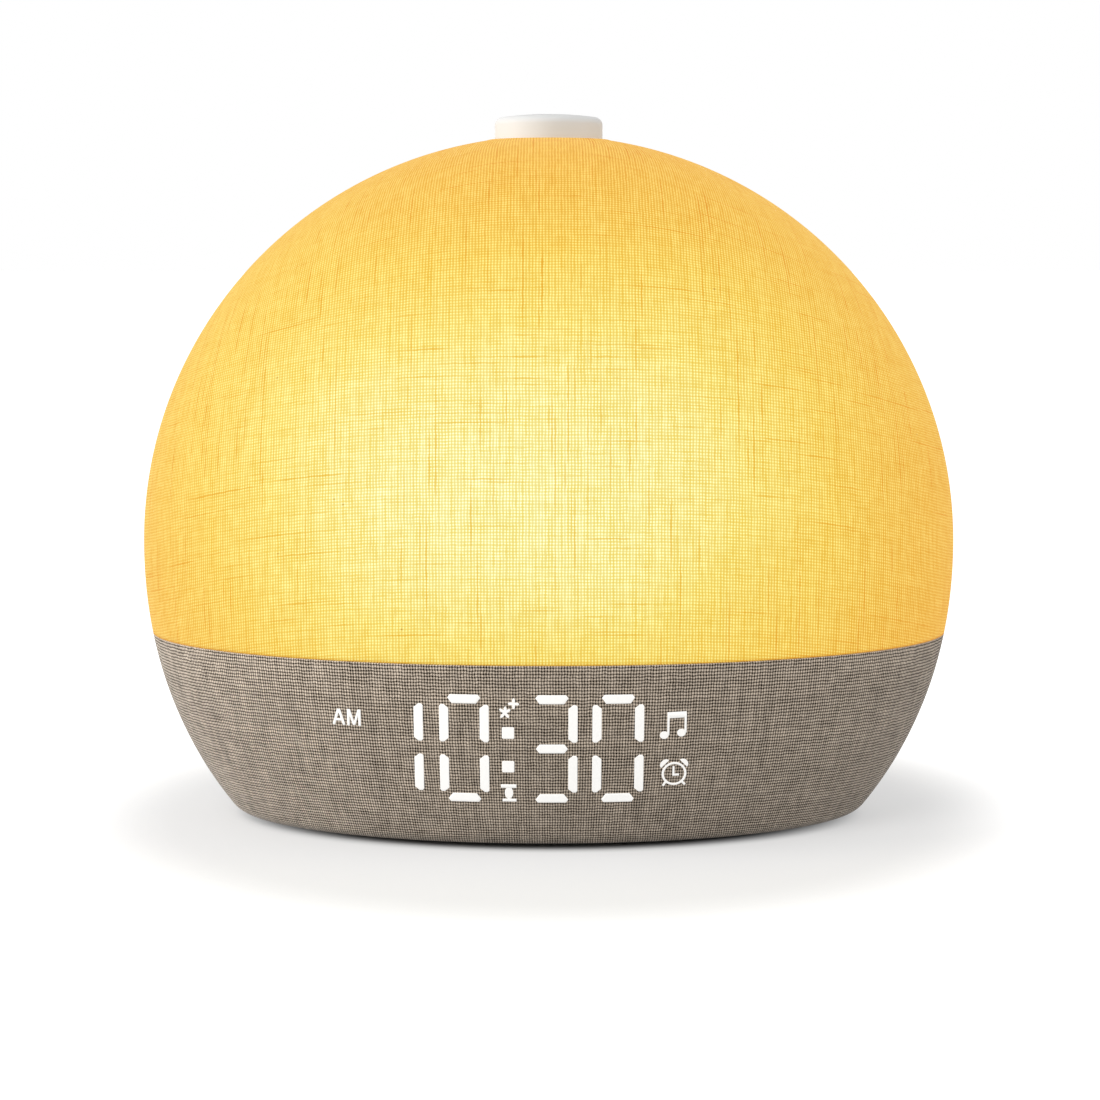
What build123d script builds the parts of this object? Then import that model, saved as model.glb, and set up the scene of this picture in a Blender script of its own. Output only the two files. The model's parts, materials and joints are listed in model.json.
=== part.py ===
"""Sunrise alarm clock: a fabric-covered light dome on a fabric-covered clock base.

Millimetres, +Z up, the front faces -Y. The origin is on the table, under the middle of the
clock. The outer form is a stack of ellipses whose half width and half depth follow two
superellipse curves, so every shell is the same form drawn in by its own inset.
"""
from build123d import *
import math
import os

# ---- overall form ---------------------------------------------------------------------------
width = 175.0             # across the equator, along X
depth = 112.0             # across the equator, along Y
equator_z = 58.8          # height of the widest section
dome_rise = 87.5          # equator to apex
base_drop = 87.5          # equator to where the lower curves would close
front_dome_power = 2.0    # a circle, seen from the front
side_dome_power = 2.45
front_base_power = 2.1
side_base_power = 2.0
seam_z = 39.9             # where the light dome meets the base
underside_z = 1.0         # lowest point of the base fabric
bottom_radius = 5.0       # round at the bottom edge of the base

# ---- shells ---------------------------------------------------------------------------------
shade_cloth = 0.6
base_cloth = 0.8
glue_gap = 0.1            # between a cloth and the shell that it is glued to
diffuser_wall = 2.0
housing_wall = 2.2
housing_floor = 3.2
seam_gap = 0.2            # shade cloth to base cloth
fit_gap = 0.2             # between moulded parts that drop into each other
bite = 0.2                # how far a joined feature runs into its wall

# ---- bottom ---------------------------------------------------------------------------------
plate_margin = 9.6        # outer form at the underside, in to the edge of the bottom plate
plate_thickness = 2.0
plate_recess = 0.2        # plate face above the lowest point of the cloth
plate_seat = 12.5         # width of the housing floor that the plate seats on
foot_margin = 1.5         # plate edge to the foot ring
foot_width = 4.0
foot_groove = 1.0
foot_chamfer = 0.4
bottom_screw_inset = 8.6  # plate edge to the screws, inside the foot ring
bottom_screw_angle = 38.0
floor_boss_height = 4.0   # bosses for the bottom screws, above the housing floor

# ---- deck and light dome --------------------------------------------------------------------
deck_thickness = 2.2
deck_ledge = 2.0          # height of the ledge that the deck rests on
deck_ledge_width = 2.6
deck_lip = 3.6            # height of the lip that centres the dome
deck_lip_wall = 1.6
deck_boss_y = 14.0
deck_boss_bite = 0.8      # how far a deck boss runs into the wall
deck_boss_height = 9.0

# ---- dial and its well ----------------------------------------------------------------------
well_radius = 12.2        # inside the turned-down cloth
well_cloth_depth = 4.0
well_depth = 11.0         # rim to well floor
well_floor = 1.6
well_wall = 1.8
dial_radius = 11.5
dial_proud = 4.6          # crown of the dial above the apex of the form
dial_skirt = 2.6          # dial edge below the rim of the well
dial_crown = 1.0
dial_edge_round = 1.1
dial_wall = 1.6
dial_boss_radius = 4.9
press_travel = 0.6

# ---- rotary encoder -------------------------------------------------------------------------
shaft_radius = 3.0
shaft_flat = 1.5          # shaft axis to its flat
shaft_fit = 0.05          # radial clearance of the shaft
bush_radius = 4.0
bush_height = 3.6         # above the well floor
nut_across_flats = 11.0
nut_height = 2.0
washer_radius = 6.4
washer_thickness = 0.5
encoder_side = 12.4
encoder_height = 6.5
encoder_skin = 1.0
rotor_radius = 5.0
rotor_thickness = 2.2
rotor_teeth = 12
rotor_tooth = 0.7
return_dome_height = 0.9
return_dome_radius = 2.8
board_thickness = 1.6
encoder_board_x = 18.0
encoder_board_y = 15.0
encoder_screw_inset = 1.4
encoder_can_chamfer = 0.8
return_dome_skin = 0.3

# ---- spine and light boards -----------------------------------------------------------------
spine_width = 52.0
spine_depth = 8.0
spine_rail = 6.0
spine_foot = 3.0
spine_foot_depth = 22.0
spine_shoulder = 7.3      # light boards to the spine's shoulders
spine_table = 2.4
spine_web = 1.5           # between the spine's two windows and the light boards
light_board_width = 46.0
light_board_height = 54.0
light_board_rise = 5.0    # deck to the lower edge of the light boards
light_columns = 4
light_rows = 5
light_led = 3.5
light_led_height = 0.8
light_screw_inset = 2.2

# ---- display --------------------------------------------------------------------------------
display_x = -8.1          # middle of the colon
digit_z = 22.45           # middle of the digits
digit_height = 23.1
digit_width = 9.9
digit_stroke = 2.0
digit_bar = 6.7           # length of a level bar
digit_chamfer = 0.6
digit_gap = 0.3           # between the two uprights on one side
digit_pitch = 13.1        # between the two digits of a pair
pair_pitch = 17.9         # between the inner digits, across the colon
colon_size = 2.7
colon_pitch = 7.2
sign_side_left = 32.6     # colon to the sign on the left
sign_side_right = 33.3    # colon to the signs on the right
sign_am_rise = 5.7        # signs above the middle of the digits
sign_rise = 5.1
sign_star_rise = 8.8
sign_am = (6.6, 4.2)      # width and height of each sign's light cell
sign_note = (6.4, 6.8)
sign_alarm = (6.8, 7.2)
sign_star = (4.6, 5.0)
sign_glass = (3.8, 4.6)
sign_corner = 0.5
window_half_width = 39.6
window_margin = 1.5       # digits to the edge of the window
shroud_lip = 1.4
shroud_lip_thickness = 2.0
shroud_depth = 19.9       # cloth to the back of the light cells
lit_insert = 3.0          # depth of the clear inserts behind the cloth
display_led = 2.0
display_led_height = 0.7
display_screw_length = 5.0  # screw past the face of the display board
display_screw_inset = 3.0

# ---- main board and its plate ---------------------------------------------------------------
main_board_z = 8.0        # underside of the main board
main_board_x = 70.0
main_board_y = 38.0
main_boss_x = 27.0
main_boss_y = 11.5
main_boss_radius = 2.6
processor_side = 10.0
radio_can = (15.0, 12.0)  # along X and along Y
amplifier_case = (6.0, 5.0)
capacitor_radius = 3.1
processor_height = 1.2
radio_height = 2.2
amplifier_height = 1.4
capacitor_height = 7.5
inlet_tab_width = 18.0    # tongue of the main board that carries the power inlet
inlet_width = 9.0
inlet_height = 3.2
inlet_shell = 0.3
inlet_length = 7.6
inlet_back = 1.0          # closed inner end of the inlet
inlet_tongue_width = 6.6
inlet_tongue_height = 0.7
inlet_overhang = 4.2      # inlet past the end of the main board
inlet_inset = 0.8         # mouth of the inlet, in from the panel's face

# ---- rear panel -----------------------------------------------------------------------------
panel_half_width = 46.0
panel_height = 25.8
panel_z = 20.5
panel_corner = 7.0
panel_thickness = 3.2
panel_lip = 2.0           # lip behind the housing wall, past the opening
panel_lip_thickness = 2.0
panel_lip_overlap = 3.0   # lip behind the panel itself
panel_gap = 0.3
rear_start = 5.0          # the rear cuts begin this far behind the middle
post_screw_reach = 5.0    # pilot holes into the posts

# ---- speaker --------------------------------------------------------------------------------
speaker_x = -27.0
speaker_radius = 13.5
speaker_seat_depth = 13.9 # panel's face to the speaker's gasket
speaker_ring_wall = 1.2
speaker_flange = 1.4
speaker_depth = 8.0
speaker_basket_wall = 1.0
speaker_gasket = 0.6
magnet_radius = 8.0
magnet_length = 7.5
surround_width = 2.4
basket_rim = 1.6          # flat rim of the basket, outside its cone side
surround_skin = 0.4
cone_neck = 3.4           # radius of the voice coil's former
cone_drop = 3.6           # cone's outer edge to its neck
cone_skin = 0.5
magnet_pole = 2.6         # radius of the pole inside the former
magnet_plate = 0.8
yoke_wall = 3.4
grille_radius = 10.6
grille_pitch = 2.9
grille_hole = 1.5

# ---- rear controls --------------------------------------------------------------------------
button_z = 22.0
button_first_x = 14.0
button_pitch = 10.0
button_count = 3
button_radius = 3.2
button_proud = 1.0
button_gap = 0.3          # round a button or the slider, in its sleeve
button_flange = 4.2
button_flange_thickness = 1.2
button_travel = 0.5
button_edge_round = 0.35
switch_well = 2.4         # depth of a push switch's well for its plunger
slide_groove = 2.5        # depth of the slide switch's groove
slider_stem_reach = 2.2   # slider stem, into the groove
slider_lift = 0.3         # slider's finger piece, above its switch
slider_ridge = 0.4        # width and depth of the slots between its ridges
slider_ridge_pitch = 1.2
sleeve_wall = 1.1
guide_depth = 11.8        # panel's face to the inner end of the guide sleeves
stop_gap = 0.1            # button flange to its sleeve
control_board_depth = 19.3  # panel's face to the inner face of the control board
control_board_x = 49.0
control_board_height = 17.5
control_board_z = 25.2
push_switch = 6.0
push_switch_height = 3.4
plunger_radius = 1.7
plunger_gap = 0.1
slider_x = 0.0
slider_z = 25.0
slider_length = 4.4
slider_height = 3.0
slider_travel = 3.0
slider_stem = 2.0
slide_switch_length = 9.5
slide_switch_height = 5.0
slide_switch_depth = 4.0
post_radius = 2.2         # posts that carry the control board
post_z = 30.8
post_first_x = 12.0
post_pitch = 21.0

# ---- screws and leads -----------------------------------------------------------------------
screw_radius = 1.2
screw_head_radius = 2.2
screw_head = 1.3
screw_fit = 0.05          # radial clearance of a screw in its boss
small_screw_radius = 0.8
small_screw_head_radius = 1.6
small_screw_head = 0.9
boss_radius = 3.2
lead_thickness = 0.7
lead_width = 6.0
lead_bend = 2.4
light_lead_rise = 6.0     # spine's lower rail to where the light leads start
dial_lead_width = 8.0
speaker_lead_width = 1.2
display_lead_x = -20.0
control_lead_x = 10.0
board_lead_z = 20.0       # where the display and control leads leave their boards
connector_height = 4.0
connector_depth = 4.4

# ---- worked out -----------------------------------------------------------------------------
housing_inset = base_cloth + glue_gap
housing_inner = housing_inset + housing_wall
diffuser_inset = shade_cloth + glue_gap
diffuser_inner = diffuser_inset + diffuser_wall
form_top_z = equator_z + dome_rise
housing_bottom_z = underside_z + housing_inset
floor_top_z = housing_bottom_z + housing_floor
plate_bottom_z = underside_z + plate_recess
plate_top_z = plate_bottom_z + plate_thickness
deck_top_z = seam_z - fit_gap
deck_bottom_z = deck_top_z - deck_thickness
ledge_bottom_z = deck_bottom_z - deck_ledge
spine_base_z = deck_top_z + spine_foot
main_board_top_z = main_board_z + board_thickness


# ---- the outer form -------------------------------------------------------------------------
def half_extent(z, half, dome_power, base_power, inset):
    """Half the form's width or depth at height z, drawn in by inset."""
    if z >= equator_z:
        rise = (z - equator_z) / (dome_rise - inset)
        return (half - inset) * (1 - rise ** dome_power) ** (1 / dome_power)
    drop = (equator_z - z) / (base_drop - inset)
    return (half - inset) * (1 - drop ** base_power) ** (1 / base_power)


def half_width(z, inset=0.0):
    return half_extent(z, width / 2, front_dome_power, front_base_power, inset)


def half_depth(z, inset=0.0):
    return half_extent(z, depth / 2, side_dome_power, side_base_power, inset)


def section_at(z, inset):
    """One level section of the form: an ellipse, a circle where the two curves meet."""
    across = half_width(z, inset)
    return Plane.XY.offset(z) * Ellipse(across, min(half_depth(z, inset), across))


def rise_angle(z, inset):
    """The angle on the form's curve at height z: 0 at the equator, 90 degrees at the apex."""
    reach = (dome_rise if z >= equator_z else base_drop) - inset
    return math.degrees(math.asin((z - equator_z) / reach))


def height_at(angle, inset):
    reach = (dome_rise if angle >= 0 else base_drop) - inset
    return equator_z + reach * math.sin(math.radians(angle))


def form(low_z, high_z, inset=0.0, step=8.0):
    """The solid form between two heights, lofted through sections at even angles."""
    first, last = rise_angle(low_z, inset), rise_angle(high_z, inset)
    count = max(2, math.ceil((last - first) / step))
    angles = [first + (last - first) * i / count for i in range(1, count)]
    heights = [low_z] + [height_at(angle, inset) for angle in angles] + [high_z]
    return loft([section_at(z, inset) for z in heights])


def top_of(inset):
    """Height at which a shell's loft stops: a flat disc that the well cuts away."""
    part = 1 - (0.7 * well_radius / (width / 2 - inset)) ** front_dome_power
    return equator_z + (dome_rise - inset) * part ** (1 / front_dome_power)


def rounded_form(low_z, high_z, inset, radius):
    """The lower form with a round along its bottom edge."""
    solid = form(low_z, high_z, inset)
    return fillet(solid.edges().group_by(Axis.Z)[0], radius)


# ---- places that follow the form ------------------------------------------------------------
shroud_back = shroud_depth - half_depth(digit_z)
speaker_seat_y = half_depth(panel_z) - speaker_seat_depth
guide_y = half_depth(button_z) - guide_depth
control_board_y = half_depth(button_z) - control_board_depth
control_face_y = control_board_y + board_thickness
light_board_low_z = deck_top_z + light_board_rise
light_board_high_z = light_board_low_z + light_board_height
spine_shoulder_z = light_board_high_z + spine_shoulder


# ---- small helpers --------------------------------------------------------------------------
def along_y(sketch, near, far):
    """A sketch drawn in X and Z, made a prism from y = near to y = far."""
    return extrude(Plane.XZ.offset(-near) * sketch, amount=-(far - near))


def disc(radius, low_z, high_z, x=0.0, y=0.0):
    return Pos(x, y, low_z) * extrude(Circle(radius), amount=high_z - low_z)


def round_bar(radius, near, far, x, z):
    return along_y(Pos(x, z) * Circle(radius), near, far)


def slab(size_x, size_y, low_z, high_z, x=0.0, y=0.0):
    return Pos(x, y, low_z) * extrude(Rectangle(size_x, size_y), amount=high_z - low_z)


def wall_slab(size_x, size_z, near, far, x=0.0, z=0.0):
    return along_y(Pos(x, z) * Rectangle(size_x, size_z), near, far)


def oval(across, along, low_z, high_z):
    return Pos(0, 0, low_z) * extrude(Ellipse(across, along), amount=high_z - low_z)


def corners(x, y):
    return [(sx * x, sy * y) for sx in (-1, 1) for sy in (-1, 1)]


def group(solids):
    """Several separate solids that share one name."""
    return Compound(children=list(solids))


def save(name, shape):
    export_step(shape, os.path.join("parts", name + ".step"))


def screw_up(x, y, head_z, length, shank=screw_radius, head=screw_head_radius, rise=screw_head):
    """A screw driven upwards, with its head below head_z and a cross recess in the head."""
    body = disc(head, head_z - rise, head_z, x, y) + disc(shank, head_z, head_z + length, x, y)
    return body - recess(x, y, head_z - rise, head_z - rise / 2, head)


def screw_down(x, y, head_z, length, shank=screw_radius, head=screw_head_radius, rise=screw_head):
    """A screw driven downwards, with its head above head_z and a cross recess in the head."""
    body = disc(head, head_z, head_z + rise, x, y) + disc(shank, head_z - length, head_z, x, y)
    return body - recess(x, y, head_z + rise / 2, head_z + rise, head)


def recess(x, y, low_z, high_z, head):
    slot = 0.3 * head
    cross = slab(1.2 * head, slot, low_z, high_z, x, y) + slab(slot, 1.2 * head, low_z, high_z, x, y)
    return cross


def ribbon(points, bend, across, thickness=lead_thickness):
    """A flat lead in the YZ or XZ plane, through the points, with round bends."""
    path = FilletPolyline(*points, radius=bend) if len(points) > 2 else Line(*points)
    start = Plane(origin=path @ 0, x_dir=across[0], z_dir=path % 0)
    return sweep(start * Rectangle(across[1], thickness), path=path)


# ---- light dome -----------------------------------------------------------------------------
def make_shade_fabric():
    """The stretched cloth, turned down into the well."""
    low = seam_z + seam_gap
    shell = form(low, top_of(0), 0) - form(low - 1, top_of(shade_cloth), shade_cloth)
    rim = rim_z()
    turned = disc(well_radius + shade_cloth, rim - well_cloth_depth, form_top_z)
    turned &= form(rim - 2 * well_cloth_depth, top_of(0), 0)
    return shell + turned - disc(well_radius, rim - 2 * well_cloth_depth, form_top_z + 1)


def rim_z():
    """Height of the outer form where the well cuts it."""
    part = 1 - (well_radius / (width / 2)) ** front_dome_power
    return equator_z + dome_rise * part ** (1 / front_dome_power)


def well_floor_z():
    return rim_z() - well_depth


def make_diffuser_dome():
    """The milky shell with its moulded well: a tube and a floor with the bush hole."""
    shell = form(seam_z, top_of(diffuser_inset), diffuser_inset)
    outer = shell
    shell -= form(seam_z - 1, top_of(diffuser_inner), diffuser_inner)
    bore = well_radius + shade_cloth + glue_gap
    floor = well_floor_z()
    well = disc(bore + well_wall, floor - well_floor, form_top_z) & outer
    shell = shell + well - disc(bore, floor, form_top_z + 1)
    return shell - disc(bush_radius + fit_gap, floor - 2 * well_floor, floor + 1)


# ---- base shells ----------------------------------------------------------------------------
def window_sketch(gap=0.0):
    """The display window in the front of the housing, drawn in X and Z."""
    high = digit_height + 2 * window_margin + 2 * gap
    return Pos(display_x, digit_z) * RectangleRounded(2 * (window_half_width + gap), high, 2)


def panel_sketch(grow=0.0):
    """The rear panel's outline, drawn in X and Z."""
    size_x, size_z = 2 * (panel_half_width + grow), panel_height + 2 * grow
    return Pos(0, panel_z) * RectangleRounded(size_x, size_z, panel_corner + grow)


def plate_half(drawn_in=0.0):
    """Half width and half depth of the bottom plate, drawn in."""
    margin = plate_margin + drawn_in
    return half_width(underside_z) - margin, half_depth(underside_z) - margin


def make_base_fabric():
    """The cloth round the base, turned under as far as the bottom plate, open for the panel."""
    outer = rounded_form(underside_z, seam_z, 0, bottom_radius)
    inner = rounded_form(underside_z + base_cloth, seam_z + 1, base_cloth, bottom_radius - base_cloth)
    cloth = outer - inner - oval(*plate_half(-fit_gap), 0, underside_z + 2 * base_cloth)
    return cloth - along_y(panel_sketch(panel_gap), rear_start, depth)


def bottom_screw_places():
    across, along = plate_half(bottom_screw_inset)
    angles = [sign + bottom_screw_angle * turn for sign, turn in ((0, 1), (180, -1), (180, 1), (0, -1))]
    return [(across * math.cos(math.radians(a)), along * math.sin(math.radians(a))) for a in angles]


def deck_boss_places():
    """The deck's screw bosses stand against the side walls, under the ledge."""
    low = deck_bottom_z - deck_boss_height
    along = half_depth(low, housing_inner)
    wall = half_width(low, housing_inner) * math.sqrt(1 - (deck_boss_y / along) ** 2)
    return corners(wall + deck_boss_bite - boss_radius, deck_boss_y)


def make_base_housing():
    """The moulded base: a bowl with a floor ring, a deck ledge, a window and a panel opening."""
    outer = rounded_form(housing_bottom_z, seam_z, housing_inset, bottom_radius - housing_inset)
    shell = outer - form(floor_top_z, seam_z + 1, housing_inner)
    ledge = form(ledge_bottom_z, deck_bottom_z, housing_inner - bite)
    shell += ledge - form(ledge_bottom_z - 1, deck_bottom_z + 1, housing_inner + deck_ledge_width)
    shell -= oval(*plate_half(plate_seat), 0, floor_top_z + 1)
    shell -= oval(*plate_half(-fit_gap), 0, plate_top_z)
    shell -= along_y(window_sketch(), -depth, -5)
    shell -= along_y(window_sketch(shroud_lip + fit_gap), -depth, -5) & form(
        floor_top_z, seam_z - 1, housing_inner)
    shell -= along_y(panel_sketch(panel_gap), rear_start, depth)
    boss_low = deck_bottom_z - deck_boss_height
    inside = form(floor_top_z - bite, seam_z, housing_inner - bite)
    for x, y in deck_boss_places():
        shell += disc(boss_radius, boss_low, deck_bottom_z, x, y) & inside
        shell -= disc(screw_radius + screw_fit, boss_low + 1, deck_bottom_z + 1, x, y)
    for x, y in bottom_screw_places():
        shell += disc(boss_radius, plate_top_z, floor_top_z + floor_boss_height, x, y)
        shell -= disc(screw_radius + screw_fit, plate_top_z - 1, floor_top_z + floor_boss_height - 1, x, y)
    return shell


def make_bottom_plate():
    """The bottom plate: foot groove, countersunk screw seats and bosses for the main board."""
    across, along = plate_half()
    plate = oval(across, along, plate_bottom_z, plate_top_z)
    plate -= foot_band(fit_gap, plate_bottom_z, plate_bottom_z + foot_groove)
    for x, y in corners(main_boss_x, main_boss_y):
        plate += disc(main_boss_radius, plate_top_z - bite, main_board_z, x, y)
        plate -= disc(small_screw_radius + screw_fit, plate_top_z, main_board_z + 1, x, y)
    for x, y in bottom_screw_places():
        plate -= disc(screw_radius + fit_gap, 0, plate_top_z + 1, x, y)
        plate -= disc(screw_head_radius + fit_gap, 0, plate_bottom_z + screw_head, x, y)
    return plate


def foot_band(grow, low_z, high_z):
    """The foot's oval band, just inside the edge of the bottom plate."""
    outer = plate_half(foot_margin - grow)
    inner = plate_half(foot_margin + foot_width + grow)
    return oval(*outer, low_z, high_z) - oval(*inner, low_z - 1, high_z + 1)


def make_foot_ring():
    ring = foot_band(0, 0, plate_bottom_z + foot_groove)
    return chamfer(ring.edges().group_by(Axis.Z)[0], foot_chamfer)


def make_bottom_screws():
    head_z = plate_bottom_z + screw_head
    length = floor_top_z + floor_boss_height - 1.5 - head_z
    return group(screw_up(x, y, head_z, length) for x, y in bottom_screw_places())


# ---- deck and spine -------------------------------------------------------------------------
def make_deck_plate():
    """The deck: closes the base, centres the dome with its lip, carries the spine."""
    across = half_width(deck_bottom_z, housing_inner) - fit_gap
    along = half_depth(deck_bottom_z, housing_inner) - fit_gap
    deck = oval(across, along, deck_bottom_z, deck_top_z)
    lip_inset = max(diffuser_inner, housing_inner)
    lip_across = half_width(seam_z, lip_inset) - fit_gap
    lip_along = half_depth(seam_z, lip_inset) - fit_gap
    lip = oval(lip_across, lip_along, deck_top_z, deck_top_z + deck_lip)
    hollow = oval(lip_across - deck_lip_wall, lip_along - deck_lip_wall, deck_top_z, form_top_z)
    deck += lip - hollow
    deck -= slab(lead_slot_width(), 2 * lead_thickness + 2, 0, form_top_z)
    for x, y in deck_boss_places():
        deck -= disc(screw_radius + fit_gap, 0, form_top_z, x, y)
    for x, y in spine_screw_places():
        deck -= disc(screw_radius + screw_fit, 0, form_top_z, x, y)
    return deck


def lead_slot_width():
    return dial_lead_width + 2 * lead_width + 8


def make_deck_screws():
    length = deck_boss_height - 2 + deck_thickness
    return group(screw_down(x, y, deck_top_z, length) for x, y in deck_boss_places())


def spine_screw_places():
    return corners(spine_width / 2 - spine_rail / 2, spine_foot_depth / 2 - screw_head_radius - 0.6)


def make_spine_screws():
    length = spine_foot + deck_thickness
    return group(screw_down(x, y, spine_base_z, length) for x, y in spine_screw_places())


def table_top_z():
    """Top of the spine: the encoder's board rests here."""
    return well_floor_z() - well_floor - encoder_height - board_thickness


def make_spine_frame():
    """An upright frame: foot, two rails, a cross rail, shoulders and the encoder's table."""
    top = table_top_z()
    half, rail = spine_width / 2, spine_rail
    table_half = encoder_board_x / 2 + 2
    outline = Polyline((-half, deck_top_z), (half, deck_top_z), (half, spine_shoulder_z),
                       (table_half, top), (-table_half, top), (-half, spine_shoulder_z), close=True)
    frame = along_y(make_face(outline), -spine_depth / 2, spine_depth / 2)
    inner = 2 * (half - rail)
    frame -= wall_slab(inner, light_board_height - 2 * rail, -depth, depth, 0, light_board_z())
    upper_low = light_board_high_z + spine_web
    upper = Polyline((-half + rail, upper_low), (half - rail, upper_low),
                     (half - rail, spine_shoulder_z - spine_web),
                     (table_half - rail, top - rail), (-table_half + rail, top - rail),
                     (-half + rail, spine_shoulder_z - spine_web), close=True)
    frame -= along_y(make_face(upper), -depth, depth)
    frame += slab(spine_width, spine_foot_depth, deck_top_z, spine_base_z)
    frame += slab(2 * table_half, encoder_board_y + 1, top - spine_table, top)
    frame -= slab(lead_slot_width(), 2 * lead_thickness + 1, 0, top - spine_table - 1)
    frame -= slab(dial_lead_width + 1, 2 * lead_thickness + 1, 0, form_top_z)
    for x, y in spine_screw_places():
        frame -= disc(screw_radius + fit_gap, 0, spine_base_z + 1, x, y)
    for x, z in light_screw_places():
        frame -= round_bar(small_screw_radius + screw_fit, -depth, depth, x, z)
    for x, y in encoder_screw_places():
        frame -= disc(small_screw_radius + screw_fit, top - spine_table - 1, top + 1, x, y)
    return frame


# ---- light boards ---------------------------------------------------------------------------
def light_board_z():
    return (light_board_low_z + light_board_high_z) / 2


def light_screw_places():
    rise = light_board_height / 2 - spine_rail / 2
    return [(x, light_board_z() + z) for x, z in corners(light_board_width / 2 - light_screw_inset, rise)]


def make_light_board(side):
    """side is -1 for the front board and 1 for the rear one."""
    near, far = sorted((side * spine_depth / 2, side * (spine_depth / 2 + board_thickness)))
    outline = Pos(0, light_board_z()) * RectangleRounded(light_board_width, light_board_height, 2)
    board = along_y(outline, near, far)
    for x, z in light_screw_places():
        board -= round_bar(small_screw_radius + fit_gap, -depth, depth, x, z)
    return board


def make_light_leds(side):
    """A grid of surface-mounted emitters on one board."""
    face = spine_depth / 2 + board_thickness
    near, far = sorted((side * face, side * (face + light_led_height)))
    step_x = light_board_width / light_columns
    step_z = light_board_height / light_rows
    leds = []
    for column in range(light_columns):
        for row in range(light_rows):
            x = (column - (light_columns - 1) / 2) * step_x
            z = light_board_z() + (row - (light_rows - 1) / 2) * step_z
            leds.append(wall_slab(light_led, light_led, near, far, x, z))
    return group(leds)


def make_light_screws():
    """Screws from both sides, each half the spine deep."""
    face = spine_depth / 2 + board_thickness
    shank = board_thickness + spine_depth / 2 - 0.5
    screws = []
    for x, z in light_screw_places():
        for side in (-1, 1):
            head = sorted((side * face, side * (face + small_screw_head)))
            stem = sorted((side * face, side * (face - shank)))
            screws.append(round_bar(small_screw_head_radius, *head, x, z)
                          + round_bar(small_screw_radius, *stem, x, z))
    return group(screws)


# ---- encoder and dial -----------------------------------------------------------------------
def encoder_floor_z():
    """Top of the encoder's own board."""
    return table_top_z() + board_thickness


def encoder_screw_places():
    return [(sx * (encoder_board_x / 2 - encoder_screw_inset), 0) for sx in (-1, 1)]


def make_encoder_board():
    board = slab(encoder_board_x, encoder_board_y, table_top_z(), encoder_floor_z())
    for x, y in encoder_screw_places():
        board -= disc(small_screw_radius + fit_gap, 0, form_top_z, x, y)
    return board


def make_encoder_screws():
    head = encoder_board_x / 2 - encoder_screw_inset - encoder_side / 2 - fit_gap
    return group(screw_down(x, y, encoder_floor_z(), board_thickness + spine_table,
                            small_screw_radius, head, small_screw_head)
                 for x, y in encoder_screw_places())


def shaft_sketch(grow=0.0):
    """The D section of the shaft's ends."""
    cut = Pos(0, shaft_radius + shaft_flat + grow) * Rectangle(4 * shaft_radius, 2 * shaft_radius)
    return Circle(shaft_radius + grow) - cut


def shaft_bottom_z():
    return encoder_floor_z() + encoder_skin + return_dome_height


def rotor_bottom_z():
    """The rotor runs under the roof of the encoder's can."""
    return encoder_floor_z() + encoder_height - encoder_skin - rotor_thickness - fit_gap


def make_encoder_body():
    """The encoder's can with its threaded bush; the rotor runs in the hollow."""
    low, high = encoder_floor_z(), encoder_floor_z() + encoder_height
    can = slab(encoder_side, encoder_side, low, high)
    can = chamfer(can.edges().filter_by(Axis.Z), encoder_can_chamfer)
    can += disc(bush_radius, high, well_floor_z() + bush_height)
    can -= disc(rotor_radius + fit_gap, low + encoder_skin, high - encoder_skin)
    return can - disc(shaft_radius + shaft_fit, low + encoder_skin, form_top_z)


def make_encoder_washer():
    low = well_floor_z()
    return disc(washer_radius, low, low + washer_thickness) - disc(bush_radius + shaft_fit, 0, form_top_z)


def make_encoder_nut():
    low = well_floor_z() + washer_thickness
    hexagon = RegularPolygon(nut_across_flats / 2, 6, major_radius=False)
    nut = Pos(0, 0, low) * extrude(hexagon, amount=nut_height)
    return nut - disc(bush_radius + shaft_fit, 0, form_top_z)


def make_encoder_rotor():
    """The toothed disc that the shaft turns and slides through."""
    toothed = Circle(rotor_radius)
    for place in PolarLocations(rotor_radius, rotor_teeth):
        toothed -= place * Rectangle(2 * rotor_tooth, rotor_tooth)
    rotor = Pos(0, 0, rotor_bottom_z()) * extrude(toothed, amount=rotor_thickness)
    bore = Pos(0, 0, rotor_bottom_z() - 1) * extrude(shaft_sketch(shaft_fit), amount=rotor_thickness + 2)
    return rotor - bore


def make_return_dome():
    """The springy metal dome under the shaft's end."""
    low = encoder_floor_z() + encoder_skin
    outer = Cone(return_dome_radius, return_dome_radius / 2, return_dome_height,
                 align=(Align.CENTER, Align.CENTER, Align.MIN))
    inner = Cone(return_dome_radius - return_dome_skin, return_dome_radius / 2 - return_dome_skin,
                 return_dome_height - 0.2,
                 align=(Align.CENTER, Align.CENTER, Align.MIN))
    return Pos(0, 0, low) * (outer - inner)


def dial_crown_z():
    return form_top_z + dial_proud


def dial_ceiling_z():
    """Inside face of the dial's top."""
    return dial_crown_z() - dial_crown - dial_wall


def make_dial_shaft():
    """Round through the bush, with a D at each end."""
    low, high = shaft_bottom_z(), dial_ceiling_z() - fit_gap
    bush_low = encoder_floor_z() + encoder_height - encoder_skin + press_travel
    bush_high = well_floor_z() + bush_height
    shaft = Pos(0, 0, low) * extrude(shaft_sketch(), amount=high - low)
    return shaft + disc(shaft_radius, bush_low, bush_high)


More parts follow.
